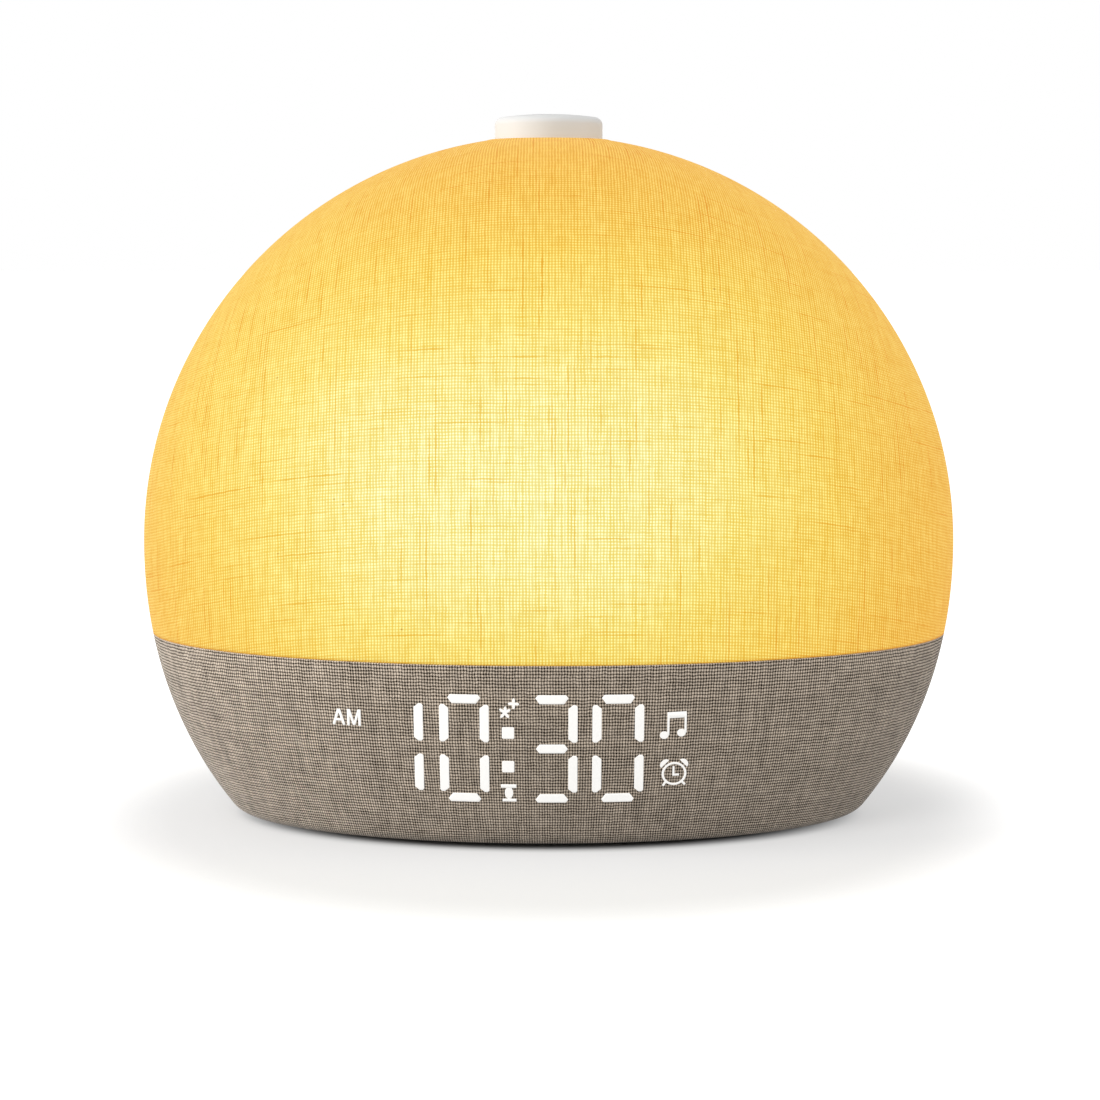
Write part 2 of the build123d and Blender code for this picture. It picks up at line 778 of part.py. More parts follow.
def make_dial():
    """A crowned cap with a skirt that runs in the well and a boss on the shaft."""
    crown, skirt = dial_crown_z(), rim_z() - dial_skirt
    edge = crown - dial_crown
    ball = (dial_radius ** 2 + dial_crown ** 2) / (2 * dial_crown)
    cap = disc(dial_radius, skirt, crown) & (Pos(0, 0, crown - ball) * Sphere(ball))
    cap = fillet(cap.edges().filter_by(GeomType.CIRCLE).filter_by_position(Axis.Z, edge - 0.1, edge + 0.1),
                 dial_edge_round)
    cap -= disc(dial_radius - dial_wall, skirt - 1, dial_ceiling_z())
    boss_low = well_floor_z() + bush_height + press_travel + 0.4
    cap += disc(dial_boss_radius, boss_low, dial_ceiling_z() + 0.1)
    bore = Pos(0, 0, boss_low - 1) * extrude(shaft_sketch(shaft_fit),
                                           amount=dial_ceiling_z() - boss_low + 1)
    return cap - bore


# ---- display --------------------------------------------------------------------------------
def bar_sketch(length):
    """A lit bar with chamfered ends, level, about its own middle."""
    return chamfer(Rectangle(length, digit_stroke).vertices(), digit_chamfer)


def digit_bars(figure):
    """The lit bars of one seven-bar figure, about the middle of the digit."""
    rise = (digit_height - digit_stroke) / 2
    reach = (digit_width - digit_stroke) / 2
    upright = rise - digit_stroke - digit_gap
    bars = {
        "top": Pos(0, rise) * bar_sketch(digit_bar),
        "middle": bar_sketch(digit_bar),
        "bottom": Pos(0, -rise) * bar_sketch(digit_bar),
        "upper_right": Pos(reach, rise / 2) * Rot(0, 0, 90) * bar_sketch(upright),
        "lower_right": Pos(reach, -rise / 2) * Rot(0, 0, 90) * bar_sketch(upright),
        "upper_left": Pos(-reach, rise / 2) * Rot(0, 0, 90) * bar_sketch(upright),
        "lower_left": Pos(-reach, -rise / 2) * Rot(0, 0, 90) * bar_sketch(upright),
    }
    right = ["upper_right", "lower_right"]
    level = ["top", "middle", "bottom"]
    lit = {"0": ["top", "bottom", "upper_left", "lower_left"] + right, "1": right, "3": level + right}
    return [bars[name] for name in lit[figure]]


def digit_places():
    inner = pair_pitch / 2
    return [-inner - digit_pitch, -inner, inner, inner + digit_pitch]


def digit_sketches():
    """Every lit bar and colon square, drawn in X and Z."""
    sketches = []
    for figure, offset in zip("1030", digit_places()):
        sketches += [Pos(display_x + offset, digit_z) * bar for bar in digit_bars(figure)]
    for side in (-1, 1):
        square = Rectangle(colon_size, colon_size)
        sketches.append(Pos(display_x, digit_z + side * colon_pitch / 2) * square)
    return sketches


def sign_sketches():
    """The windows of the small signs beside the digits, drawn in X and Z."""
    left, right = display_x - sign_side_left, display_x + sign_side_right
    places = [(left, digit_z + sign_am_rise, *sign_am), (right, digit_z + sign_rise, *sign_note),
              (right, digit_z - sign_rise, *sign_alarm),
              (display_x, digit_z + sign_star_rise, *sign_star),
              (display_x, digit_z - sign_star_rise, *sign_glass)]
    return [Pos(x, z) * RectangleRounded(w, h, sign_corner) for x, z, w, h in places]


def front_prism(sketch, back=None):
    return along_y(sketch, -depth, shroud_back if back is None else back)


def make_display_shroud():
    """The block of light cells behind the cloth, with a lip behind the housing wall."""
    block = front_prism(window_sketch(-fit_gap)) & form(underside_z + 2, seam_z - 1, housing_inset)
    skin = form(floor_top_z, seam_z - 1, housing_inner + glue_gap)
    skin -= form(underside_z + 1, seam_z, housing_inner + glue_gap + shroud_lip_thickness)
    block += front_prism(window_sketch(shroud_lip)) & skin
    for sketch in digit_sketches() + sign_sketches():
        block -= front_prism(sketch, 0)
    for x, z in display_screw_places():
        block -= round_bar(small_screw_radius + screw_fit, shroud_back - display_screw_length - 1, 0, x, z)
    return block


def make_inserts(sketches):
    """Clear inserts that fill the light cells next to the cloth."""
    skin = form(underside_z + 2, seam_z - 1, housing_inset)
    skin -= form(underside_z + 1, seam_z, housing_inset + lit_insert)
    return group(front_prism(sketch) & skin for sketch in sketches)


def display_screw_places():
    rise = digit_height / 2 + window_margin - fit_gap - 2.4
    return [(display_x + x, digit_z + z) for x, z in corners(window_half_width - display_screw_inset, rise)]


def make_display_board():
    size_z = digit_height + 2 * window_margin - 2 * fit_gap
    board = wall_slab(2 * (window_half_width - fit_gap), size_z,
                      shroud_back, shroud_back + board_thickness, display_x, digit_z)
    for x, z in display_screw_places():
        board -= round_bar(small_screw_radius + fit_gap, shroud_back - 1, 0, x, z)
    return board


def make_display_leds():
    """One emitter at the back of each light cell."""
    leds = []
    for sketch in digit_sketches() + sign_sketches():
        middle = sketch.center()
        side = min(display_led, digit_stroke - 2 * fit_gap)
        leds.append(wall_slab(side, side, shroud_back - display_led_height, shroud_back,
                              middle.X, middle.Y))
    return group(leds)


def make_display_screws():
    face = shroud_back + board_thickness
    return group(round_bar(small_screw_head_radius, face, face + small_screw_head, x, z)
                 + round_bar(small_screw_radius, shroud_back - display_screw_length, face, x, z)
                 for x, z in display_screw_places())


# ---- main board and power inlet -------------------------------------------------------------
def make_main_board():
    """A board with a tongue at the rear that carries the power inlet."""
    board = slab(main_board_x, main_board_y, main_board_z, main_board_top_z)
    tab_end = inlet_tab_end()
    board += slab(inlet_tab_width, tab_end, main_board_z, main_board_top_z, 0, tab_end / 2)
    for x, y in corners(main_boss_x, main_boss_y):
        board -= disc(small_screw_radius + fit_gap, 0, seam_z, x, y)
    return board


def make_main_chips():
    """Processor, radio can, amplifier and a tall capacitor."""
    top, across, along = main_board_top_z, main_board_x / 2, main_board_y / 2
    processor = slab(processor_side, processor_side, top, top + processor_height,
                     -0.26 * across, -0.5 * along)
    processor = chamfer(processor.edges().group_by(Axis.Z)[-1], 0.3)
    radio = slab(*radio_can, top, top + radio_height, 0.4 * across, -0.47 * along)
    amplifier = slab(*amplifier_case, top, top + amplifier_height, -0.63 * across, 0.2 * along)
    capacitor = disc(capacitor_radius, top, top + capacitor_height, 0.63 * across, 0.47 * along)
    return group([processor, radio, amplifier, capacitor])


def make_main_screws():
    return group(screw_down(x, y, main_board_top_z, 4.6, small_screw_radius,
                            small_screw_head_radius, small_screw_head)
                 for x, y in corners(main_boss_x, main_boss_y))


def inlet_tab_end():
    """The tongue stops short of the panel; the inlet overhangs it."""
    return inlet_reach() - inlet_overhang


def inlet_reach():
    """Mouth of the inlet, from the middle of the clock."""
    return half_depth(inlet_z()) - inlet_inset


def inlet_z():
    return main_board_top_z + inlet_height / 2


def inlet_sketch(grow=0.0):
    high = inlet_height + 2 * grow
    return Pos(0, inlet_z()) * SlotOverall(inlet_width + 2 * grow, high)


def make_power_inlet():
    """The metal shell of the socket, closed at its inner end."""
    inner, mouth = inlet_reach() - inlet_length, inlet_reach()
    shell = along_y(inlet_sketch(), inner, mouth)
    return shell - along_y(inlet_sketch(-inlet_shell), inner + inlet_back, mouth + 1)


def make_inlet_tongue():
    inner = inlet_reach() - inlet_length + inlet_back
    return wall_slab(inlet_tongue_width, inlet_tongue_height, inner, inlet_reach() - 0.8, 0, inlet_z())


# ---- rear panel -----------------------------------------------------------------------------
def button_places():
    return [button_first_x + i * button_pitch for i in range(button_count)]


def grille_places():
    """A triangular grid of holes inside the grille's circle."""
    rows = math.floor(grille_radius / (grille_pitch * math.sqrt(3) / 2))
    places = []
    for row in range(-rows, rows + 1):
        z = row * grille_pitch * math.sqrt(3) / 2
        shift = grille_pitch / 2 if row % 2 else 0.0
        reach = math.ceil(grille_radius / grille_pitch)
        for column in range(-reach, reach + 1):
            x = column * grille_pitch + shift
            if math.hypot(x, z) + grille_hole / 2 <= grille_radius:
                places.append((speaker_x + x, panel_z + z))
    return places


def make_rear_panel():
    """A plate flush with the cloth: grille, speaker ring, guide sleeves, inlet opening, lip."""
    low, high = underside_z + 2, seam_z - 1
    lip_inset = housing_inner + glue_gap
    panel = along_y(panel_sketch(panel_lip), rear_start, depth) & form(low, high, 0)
    panel -= form(low - 1, high + 1, lip_inset + panel_lip_thickness)
    rim = along_y(panel_sketch(panel_lip + 1) - panel_sketch(), 4, depth + 1)
    wall_room = rim - form(low - 1, high + 1, lip_inset)
    panel -= along_y(panel_sketch(-panel_lip_overlap), 4, depth) & form(low - 1, high + 1, panel_thickness)
    panel -= round_bar(speaker_radius + fit_gap, 4, speaker_seat_y, speaker_x, panel_z)
    tab = inlet_tab_width + 2 * fit_gap
    panel -= slab(tab, 2 * inlet_tab_end(), main_board_z - fit_gap, inlet_z() + inlet_height / 2 + fit_gap)
    core = form(low, high, panel_thickness - bite)
    ring_radius = speaker_radius + fit_gap
    ring = round_bar(ring_radius, speaker_seat_y, depth, speaker_x, panel_z)
    ring -= round_bar(ring_radius - speaker_ring_wall - 1, 0, depth, speaker_x, panel_z)
    panel += ring & core
    for x in button_places():
        panel += round_bar(button_radius + button_gap + sleeve_wall, guide_y, depth, x, button_z) & core
    sleeve_x = slider_length + slider_travel + 2 * button_gap
    sleeve_z = slider_height + 2 * button_gap
    panel += wall_slab(sleeve_x + 2 * sleeve_wall, sleeve_z + 2 * sleeve_wall, guide_y, depth,
                       slider_x, slider_z) & core
    for x, z in post_places():
        panel += round_bar(post_radius, control_face_y, depth, x, z) & core
        panel -= round_bar(small_screw_radius + screw_fit, 0, control_face_y + post_screw_reach, x, z)
    for x in button_places():
        panel -= round_bar(button_radius + button_gap, 0, depth, x, button_z)
    panel -= wall_slab(sleeve_x, sleeve_z, 0, depth, slider_x, slider_z)
    panel -= along_y(inlet_sketch(fit_gap), 0, depth)
    for x, z in grille_places():
        panel -= round_bar(grille_hole / 2, speaker_seat_y, depth, x, z)
    return panel - wall_room


# ---- speaker --------------------------------------------------------------------------------
def speaker_ring(outer, inner, near, far):
    ring = round_bar(outer, near, far, speaker_x, panel_z)
    return ring - round_bar(inner, near - 1, far + 1, speaker_x, panel_z)


def speaker_face_y():
    return speaker_seat_y - speaker_gasket


def make_speaker_gasket():
    inner = speaker_radius - speaker_ring_wall - 0.8
    return speaker_ring(speaker_radius, inner, speaker_face_y(), speaker_seat_y)


def speaker_profile(points):
    """A profile of radius against depth behind the speaker's face, turned about its axis."""
    outline = make_face(Polyline(*points, close=True))
    turned = revolve(Plane.XY * outline, axis=Axis.Y)
    return Pos(speaker_x, speaker_face_y(), panel_z) * turned


def make_speaker_basket():
    """Flange, slanted wall and back plate of the basket."""
    r, t, d, wall = speaker_radius, speaker_flange, speaker_depth, speaker_basket_wall
    hole = magnet_radius - 3
    points = [(r, 0), (r, -t), (r - basket_rim, -t), (magnet_radius + 1, -d), (hole, -d), (hole, wall - d),
              (magnet_radius + 1 - wall, wall - d), (r - basket_rim - wall, -t), (r - basket_rim - wall, 0)]
    return speaker_profile(points)


def cone_outer():
    return speaker_radius - basket_rim - speaker_basket_wall - surround_width


def make_speaker_surround():
    """The rolled rubber edge between the basket and the cone."""
    outer = speaker_radius - basket_rim - speaker_basket_wall - 0.05
    inner = cone_outer()
    middle, half = (outer + inner) / 2, (outer - inner) / 2
    outline = Pos(middle, -half - 0.3) * (Circle(half) - Circle(half - surround_skin)
                                          - Pos(0, -half) * Rectangle(4 * half, 2 * half))
    turned = revolve(Plane.XY * outline, axis=Axis.Y)
    return Pos(speaker_x, speaker_face_y(), panel_z) * turned


def make_speaker_cone():
    """A paper cone with its dust cap, and the coil former that runs in the magnet's gap."""
    edge = -surround_width / 2 - 0.3
    neck, deep = cone_neck, edge - cone_drop
    outer = cone_outer() + 0.3
    former = -speaker_depth - 2
    points = [(0, deep + 2.2), (neck, deep + 1.0), (outer, edge - 0.1), (outer, edge - 0.6),
              (neck, deep + 0.4), (neck, former), (neck - cone_skin, former),
              (neck - cone_skin, deep + cone_skin),
              (0, deep + 1.6)]
    return speaker_profile(points)


def make_speaker_magnet():
    """Magnet and yoke on the back plate, with the gap that the coil runs in."""
    low = -speaker_depth - magnet_length
    return speaker_profile([(0, low), (magnet_radius, low), (magnet_radius, -speaker_depth),
                            (magnet_radius - yoke_wall, -speaker_depth), (magnet_radius - yoke_wall, low + 2),
                            (magnet_pole, low + 2), (magnet_pole, magnet_plate - speaker_depth),
                            (0, magnet_plate - speaker_depth)])


# ---- rear controls --------------------------------------------------------------------------
def make_control_board():
    middle_x = slider_x + control_board_x / 2 - slide_switch_length / 2 - 1.5
    board = wall_slab(control_board_x, control_board_height, control_board_y, control_face_y,
                      middle_x, control_board_z)
    for x, z in post_places():
        board -= round_bar(small_screw_radius + fit_gap, 0, depth, x, z)
    return board


def post_places():
    return [(post_first_x, post_z), (post_first_x + post_pitch, post_z)]


def make_control_screws():
    """Two screws through the board into the panel's posts."""
    head = control_board_y - small_screw_head
    return group(round_bar(small_screw_head_radius, head, control_board_y, x, z)
                 + round_bar(small_screw_radius, control_board_y, control_face_y + 4, x, z)
                 for x, z in post_places())


def flange_face_y():
    """Inner face of a button's flange, where the plunger bears."""
    return guide_y - stop_gap - button_flange_thickness


def make_push_switches():
    """Three switch bodies, each with the well that its plunger sinks into."""
    top = control_face_y + push_switch_height
    switches = []
    for x in button_places():
        body = wall_slab(push_switch, push_switch, control_face_y, top, x, button_z)
        well = round_bar(plunger_radius + plunger_gap, top - switch_well, top + 1, x, button_z)
        switches.append(body - well)
    return group(switches)


def make_plunger(x):
    low = control_face_y + push_switch_height - switch_well + button_travel + plunger_gap
    return round_bar(plunger_radius, low, flange_face_y(), x, button_z)


def make_button(x):
    """A cap whose end follows the panel, with a flange that stops behind its sleeve."""
    proud = form(underside_z + 2, seam_z - 1, -button_proud)
    cap = round_bar(button_radius, flange_face_y(), depth, x, button_z) & proud
    cap = fillet(cap.edges().filter_by(GeomType.BSPLINE).sort_by(Axis.Y)[-1:], button_edge_round)
    return cap + round_bar(button_flange, flange_face_y(), guide_y - stop_gap, x, button_z)


def make_slide_switch():
    """The slide switch's body with the groove that the stem runs in."""
    top = control_face_y + slide_switch_depth
    body = wall_slab(slide_switch_length, slide_switch_height, control_face_y, top, slider_x, slider_z)
    groove = wall_slab(slider_stem + slider_travel + 2 * button_gap, slider_stem + 2 * plunger_gap,
                       top - slide_groove, top + 1, slider_x, slider_z)
    return body - groove


def make_slider():
    """The alarm slider: a ridged finger piece, its shank and the stem into the switch."""
    rest_x = slider_x - slider_travel / 2
    top = control_face_y + slide_switch_depth
    face = half_depth(slider_z) + button_proud
    finger = wall_slab(slider_length, slider_height, top + slider_lift, face, rest_x, slider_z)
    for i in range(-1, 2):
        finger -= wall_slab(slider_ridge, slider_height + 1, face - slider_ridge, face + 1,
                            rest_x + i * slider_ridge_pitch, slider_z)
    return finger + wall_slab(slider_stem, slider_stem, top - slider_stem_reach, top + slider_lift + 0.1,
                              rest_x, slider_z)


# ---- leads ----------------------------------------------------------------------------------
def connector_top_z():
    return main_board_top_z + connector_height


def lead_places():
    """The leads that come down through the deck's slot, side by side: x and width."""
    step = dial_lead_width / 2 + lead_width / 2 + 1.5
    return [(0.0, dial_lead_width), (-step, lead_width), (step, lead_width)]


def make_connectors():
    """Sockets on the main board for every lead."""
    edge = edge_socket_y()
    places = [(x, 0, size) for x, size in lead_places()]
    places += [(display_lead_x, -edge, lead_width), (control_lead_x, edge, lead_width),
               (speaker_lead_x(), edge, speaker_lead_width + 2)]
    low, high = main_board_top_z, connector_top_z()
    return group(slab(size + 2, connector_depth, low, high, x, y) for x, y, size in places)


def edge_socket_y():
    """Middle of the sockets along the front and rear edges of the main board."""
    return main_board_y / 2 - connector_depth / 2


def make_dial_lead():
    """From the encoder's board straight down the middle of the spine to the main board."""
    return ribbon([(0, 0, table_top_z()), (0, 0, connector_top_z())], 0, ((1, 0, 0), dial_lead_width))


def make_light_leads():
    """From the inner face of each light board, bent down through the spine and the deck."""
    start_z = light_board_low_z + spine_rail + light_lead_rise
    leads = []
    for side, (x, size) in zip((-1, 1), lead_places()[1:]):
        face = side * spine_depth / 2
        points = [(x, face, start_z), (x, 0, start_z), (x, 0, connector_top_z())]
        leads.append(ribbon(points, lead_bend, ((1, 0, 0), size)))
    return group(leads)


def board_lead(x, face_y, start_z, socket_y, wide):
    """A lead that leaves an upright board level and bends down into its socket."""
    points = [(x, face_y, start_z), (x, socket_y, start_z), (x, socket_y, connector_top_z())]
    return ribbon(points, lead_bend, ((1, 0, 0), wide))


def make_display_lead():
    face = shroud_back + board_thickness
    return board_lead(display_lead_x, face, board_lead_z, -edge_socket_y(), lead_width)


def make_control_lead():
    return board_lead(control_lead_x, control_board_y, board_lead_z, edge_socket_y(), lead_width)


def speaker_lead_x():
    """The speaker's lead leaves the back of its flange, beside the basket."""
    return speaker_x + speaker_radius - 0.8


def make_speaker_lead():
    face = speaker_face_y() - speaker_flange
    return board_lead(speaker_lead_x(), face, panel_z, edge_socket_y(), speaker_lead_width)


# ---- everything -----------------------------------------------------------------------------
def make_all():
    """Each piece under the name of its node."""
    parts = {
        "shade_fabric": make_shade_fabric(),
        "diffuser_dome": make_diffuser_dome(),
        "base_fabric": make_base_fabric(),
        "base_housing": make_base_housing(),
        "bottom_plate": make_bottom_plate(),
        "foot_ring": make_foot_ring(),
        "bottom_screws": make_bottom_screws(),
        "deck_plate": make_deck_plate(),
        "deck_screws": make_deck_screws(),
        "spine_frame": make_spine_frame(),
        "spine_screws": make_spine_screws(),
        "front_light_board": make_light_board(-1),
        "rear_light_board": make_light_board(1),
        "front_light_leds": make_light_leds(-1),
        "rear_light_leds": make_light_leds(1),
        "light_board_screws": make_light_screws(),
        "encoder_board": make_encoder_board(),
        "encoder_screws": make_encoder_screws(),
        "encoder_body": make_encoder_body(),
        "encoder_washer": make_encoder_washer(),
        "encoder_nut": make_encoder_nut(),
        "encoder_rotor": make_encoder_rotor(),
        "dial_return_dome": make_return_dome(),
        "dial_shaft": make_dial_shaft(),
        "dial": make_dial(),
        "display_shroud": make_display_shroud(),
        "display_digits": make_inserts(digit_sketches()),
        "display_signs": make_inserts(sign_sketches()),
        "display_board": make_display_board(),
        "display_leds": make_display_leds(),
        "display_screws": make_display_screws(),
        "main_board": make_main_board(),
        "main_chips": make_main_chips(),
        "main_board_screws": make_main_screws(),
        "power_inlet": make_power_inlet(),
        "inlet_tongue": make_inlet_tongue(),
        "rear_panel": make_rear_panel(),
        "speaker_gasket": make_speaker_gasket(),
        "speaker_basket": make_speaker_basket(),
        "speaker_surround": make_speaker_surround(),
        "speaker_cone": make_speaker_cone(),
        "speaker_magnet": make_speaker_magnet(),
        "control_board": make_control_board(),
        "control_board_screws": make_control_screws(),
        "push_switches": make_push_switches(),
        "slide_switch": make_slide_switch(),
        "alarm_slider": make_slider(),
        "lead_connectors": make_connectors(),
        "dial_lead": make_dial_lead(),
        "light_leads": make_light_leads(),
        "display_lead": make_display_lead(),
        "control_lead": make_control_lead(),
        "speaker_lead": make_speaker_lead(),
    }
    for name, x in zip(("light", "sound", "time"), button_places()):
        parts[name + "_button"] = make_button(x)
        parts[name + "_plunger"] = make_plunger(x)
    return parts


os.makedirs("parts", exist_ok=True)
for node, shape in make_all().items():
    save(node, shape)
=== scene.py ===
import json
import math

import bmesh
import bpy
import numpy as np
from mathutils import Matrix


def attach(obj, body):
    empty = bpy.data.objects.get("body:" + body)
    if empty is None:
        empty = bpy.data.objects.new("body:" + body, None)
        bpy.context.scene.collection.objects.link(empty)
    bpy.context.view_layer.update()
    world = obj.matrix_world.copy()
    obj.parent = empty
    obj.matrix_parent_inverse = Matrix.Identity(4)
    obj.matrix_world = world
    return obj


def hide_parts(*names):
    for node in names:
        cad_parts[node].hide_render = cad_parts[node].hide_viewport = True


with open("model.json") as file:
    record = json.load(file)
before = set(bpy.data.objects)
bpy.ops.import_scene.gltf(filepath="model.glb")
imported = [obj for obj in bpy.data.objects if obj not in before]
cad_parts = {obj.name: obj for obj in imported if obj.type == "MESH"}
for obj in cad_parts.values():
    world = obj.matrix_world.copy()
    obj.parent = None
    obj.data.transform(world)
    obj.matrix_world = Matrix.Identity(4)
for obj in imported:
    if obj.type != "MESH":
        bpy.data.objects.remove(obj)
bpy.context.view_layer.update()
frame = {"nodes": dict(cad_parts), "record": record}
mainBody = "clock_body"
mm = 0.001

# camera, in front of the clock and below its top, looking a little down
cameraLook = {
    "place": (0.0, -0.592, 0.1203),
    "pitchDown": 0.106,  # radians
    "lens": 89.69,
    "shiftX": 0.0012,
}


def makeCamera(look):
    data = bpy.data.cameras.new("clockCamera")
    data.lens = look["lens"]
    data.sensor_width = 36.0
    data.sensor_fit = "HORIZONTAL"
    data.shift_x = look["shiftX"]
    data.clip_start = 0.01
    camera = bpy.data.objects.new("clockCamera", data)
    bpy.context.scene.collection.objects.link(camera)
    camera.location = look["place"]
    camera.rotation_euler = (math.pi / 2 - look["pitchDown"], 0.0, 0.0)
    bpy.context.scene.camera = camera


makeCamera(cameraLook)
bpy.context.scene.view_settings.view_transform = "Standard"
print("camera made")

# the clock's form: a stack of ellipses, in metres
form = {
    "halfWidth": 87.5 * mm,
    "halfDepth": 56.0 * mm,
    "equatorZ": 58.8 * mm,
    "rise": 87.5 * mm,  # equator to apex, and down to where the lower curves would close
    "frontDomePower": 2.0,
    "sideDomePower": 2.45,
    "frontBasePower": 2.1,
    "sideBasePower": 2.0,
    "seamZ": 39.9 * mm,
    "seamGap": 0.2 * mm,
    "undersideZ": 1.0 * mm,
    "bottomRadius": 5.0 * mm,
    "plateMargin": 9.4 * mm,  # outline at the underside, in to where the turned-under cloth ends
    "wellRadius": 12.2 * mm,
    "wellClothDepth": 4.0 * mm,
}


def halfExtent(z, half, domePower, basePower):
    # half extent = half * (1 - rise^power)^(1 / power), with rise 0 at the equator and 1 at the apex
    z = np.asarray(z, float)
    rise = np.abs(z - form["equatorZ"]) / form["rise"]
    power = np.where(z >= form["equatorZ"], domePower, basePower)
    return half * np.maximum(1 - rise ** power, 1e-9) ** (1 / power)


def acrossAt(z):
    return halfExtent(z, form["halfWidth"], form["frontDomePower"], form["frontBasePower"])


def alongAt(z):
    return np.minimum(halfExtent(z, form["halfDepth"], form["sideDomePower"], form["sideBasePower"]),
                      acrossAt(z))


def frontY(x, z, proud):
    # y on the front of the form: minus half depth * sqrt(1 - (x / half width)^2), pushed out by proud
    return -(alongAt(z) + proud) * np.sqrt(np.maximum(1 - (x / (acrossAt(z) + proud)) ** 2, 0.0))


# mesh helpers
def addMesh(name, points, faces):
    mesh = bpy.data.meshes.new(name)
    mesh.from_pydata(np.asarray(points, float).reshape(-1, 3).tolist(), [], np.asarray(faces).tolist())
    mesh.update()
    mesh.polygons.foreach_set("use_smooth", np.ones(len(mesh.polygons), bool))
    piece = bpy.data.objects.new(name, mesh)
    bpy.context.scene.collection.objects.link(piece)
    return piece


def gridCorners(rows, columns, wrap, flip):
    # row and column of the four corners of each quad on a grid; wrap joins the last column to the first
    i, j = np.meshgrid(np.arange(rows - 1), np.arange(columns if wrap else columns - 1), indexing="ij")
    i, j = i.ravel(), j.ravel()
    rowOf = np.stack([i, i, i + 1, i + 1], -1)
    columnOf = np.stack([j, j + 1, j + 1, j], -1)
    return (rowOf[:, ::-1], columnOf[:, ::-1]) if flip else (rowOf, columnOf)


def gridPiece(name, x, y, z, wrap=False, flip=False, threads=None):
    rows, columns = x.shape
    rowOf, columnOf = gridCorners(rows, columns, wrap, flip)
    piece = addMesh(name, np.stack([x, y, z], -1), rowOf * columns + columnOf % columns)
    if threads is not None:
        layer = piece.data.uv_layers.new(name="threads")
        counts = np.stack([threads[0][rowOf, columnOf], threads[1][rowOf, columnOf]], -1)
        layer.data.foreach_set("uv", counts.astype(np.float32).ravel())
    return piece


def applied(piece):
    # the piece with its modifiers made into its mesh
    graph = bpy.context.evaluated_depsgraph_get()
    mesh = bpy.data.meshes.new_from_object(piece.evaluated_get(graph))
    piece.modifiers.clear()
    piece.data = mesh
    return piece


def thickened(piece, thickness):
    solid = piece.modifiers.new("thickness", "SOLIDIFY")
    solid.thickness = thickness
    solid.offset = -1.0
    solid.use_even_offset = True
    return applied(piece)


def finish(piece, body, slotName, material, *replaced):
    piece.data.materials.clear()
    piece.data.materials.append(material)
    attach(piece, body)
    if replaced:
        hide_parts(*replaced)
    return piece


def arcFromMiddle(across, along, turns):
    # signed length round each ellipse from its front or back middle, whichever is nearer, at each turn
    fine = np.linspace(0, math.pi / 2, 361)
    speed = np.hypot(across[:, None] * np.cos(fine), along[:, None] * np.sin(fine))
    run = np.concatenate([np.zeros((len(across), 1)), np.cumsum((speed[:, 1:] + speed[:, :-1]) / 2, 1)], 1)
    run *= fine[1]
    folded = np.abs((turns + math.pi) % (2 * math.pi) - math.pi)
    folded = np.where(folded > math.pi / 2, math.pi - folded, folded)
    lengths = np.stack([np.interp(folded, fine, line) for line in run])
    return lengths * np.sign(np.sin(turns) + 1e-12)


def runUp(heights, reach):
    # length along a line drawn through (reach, height) points
    return np.concatenate([[0.0], np.cumsum(np.hypot(np.diff(heights), np.diff(reach)))])


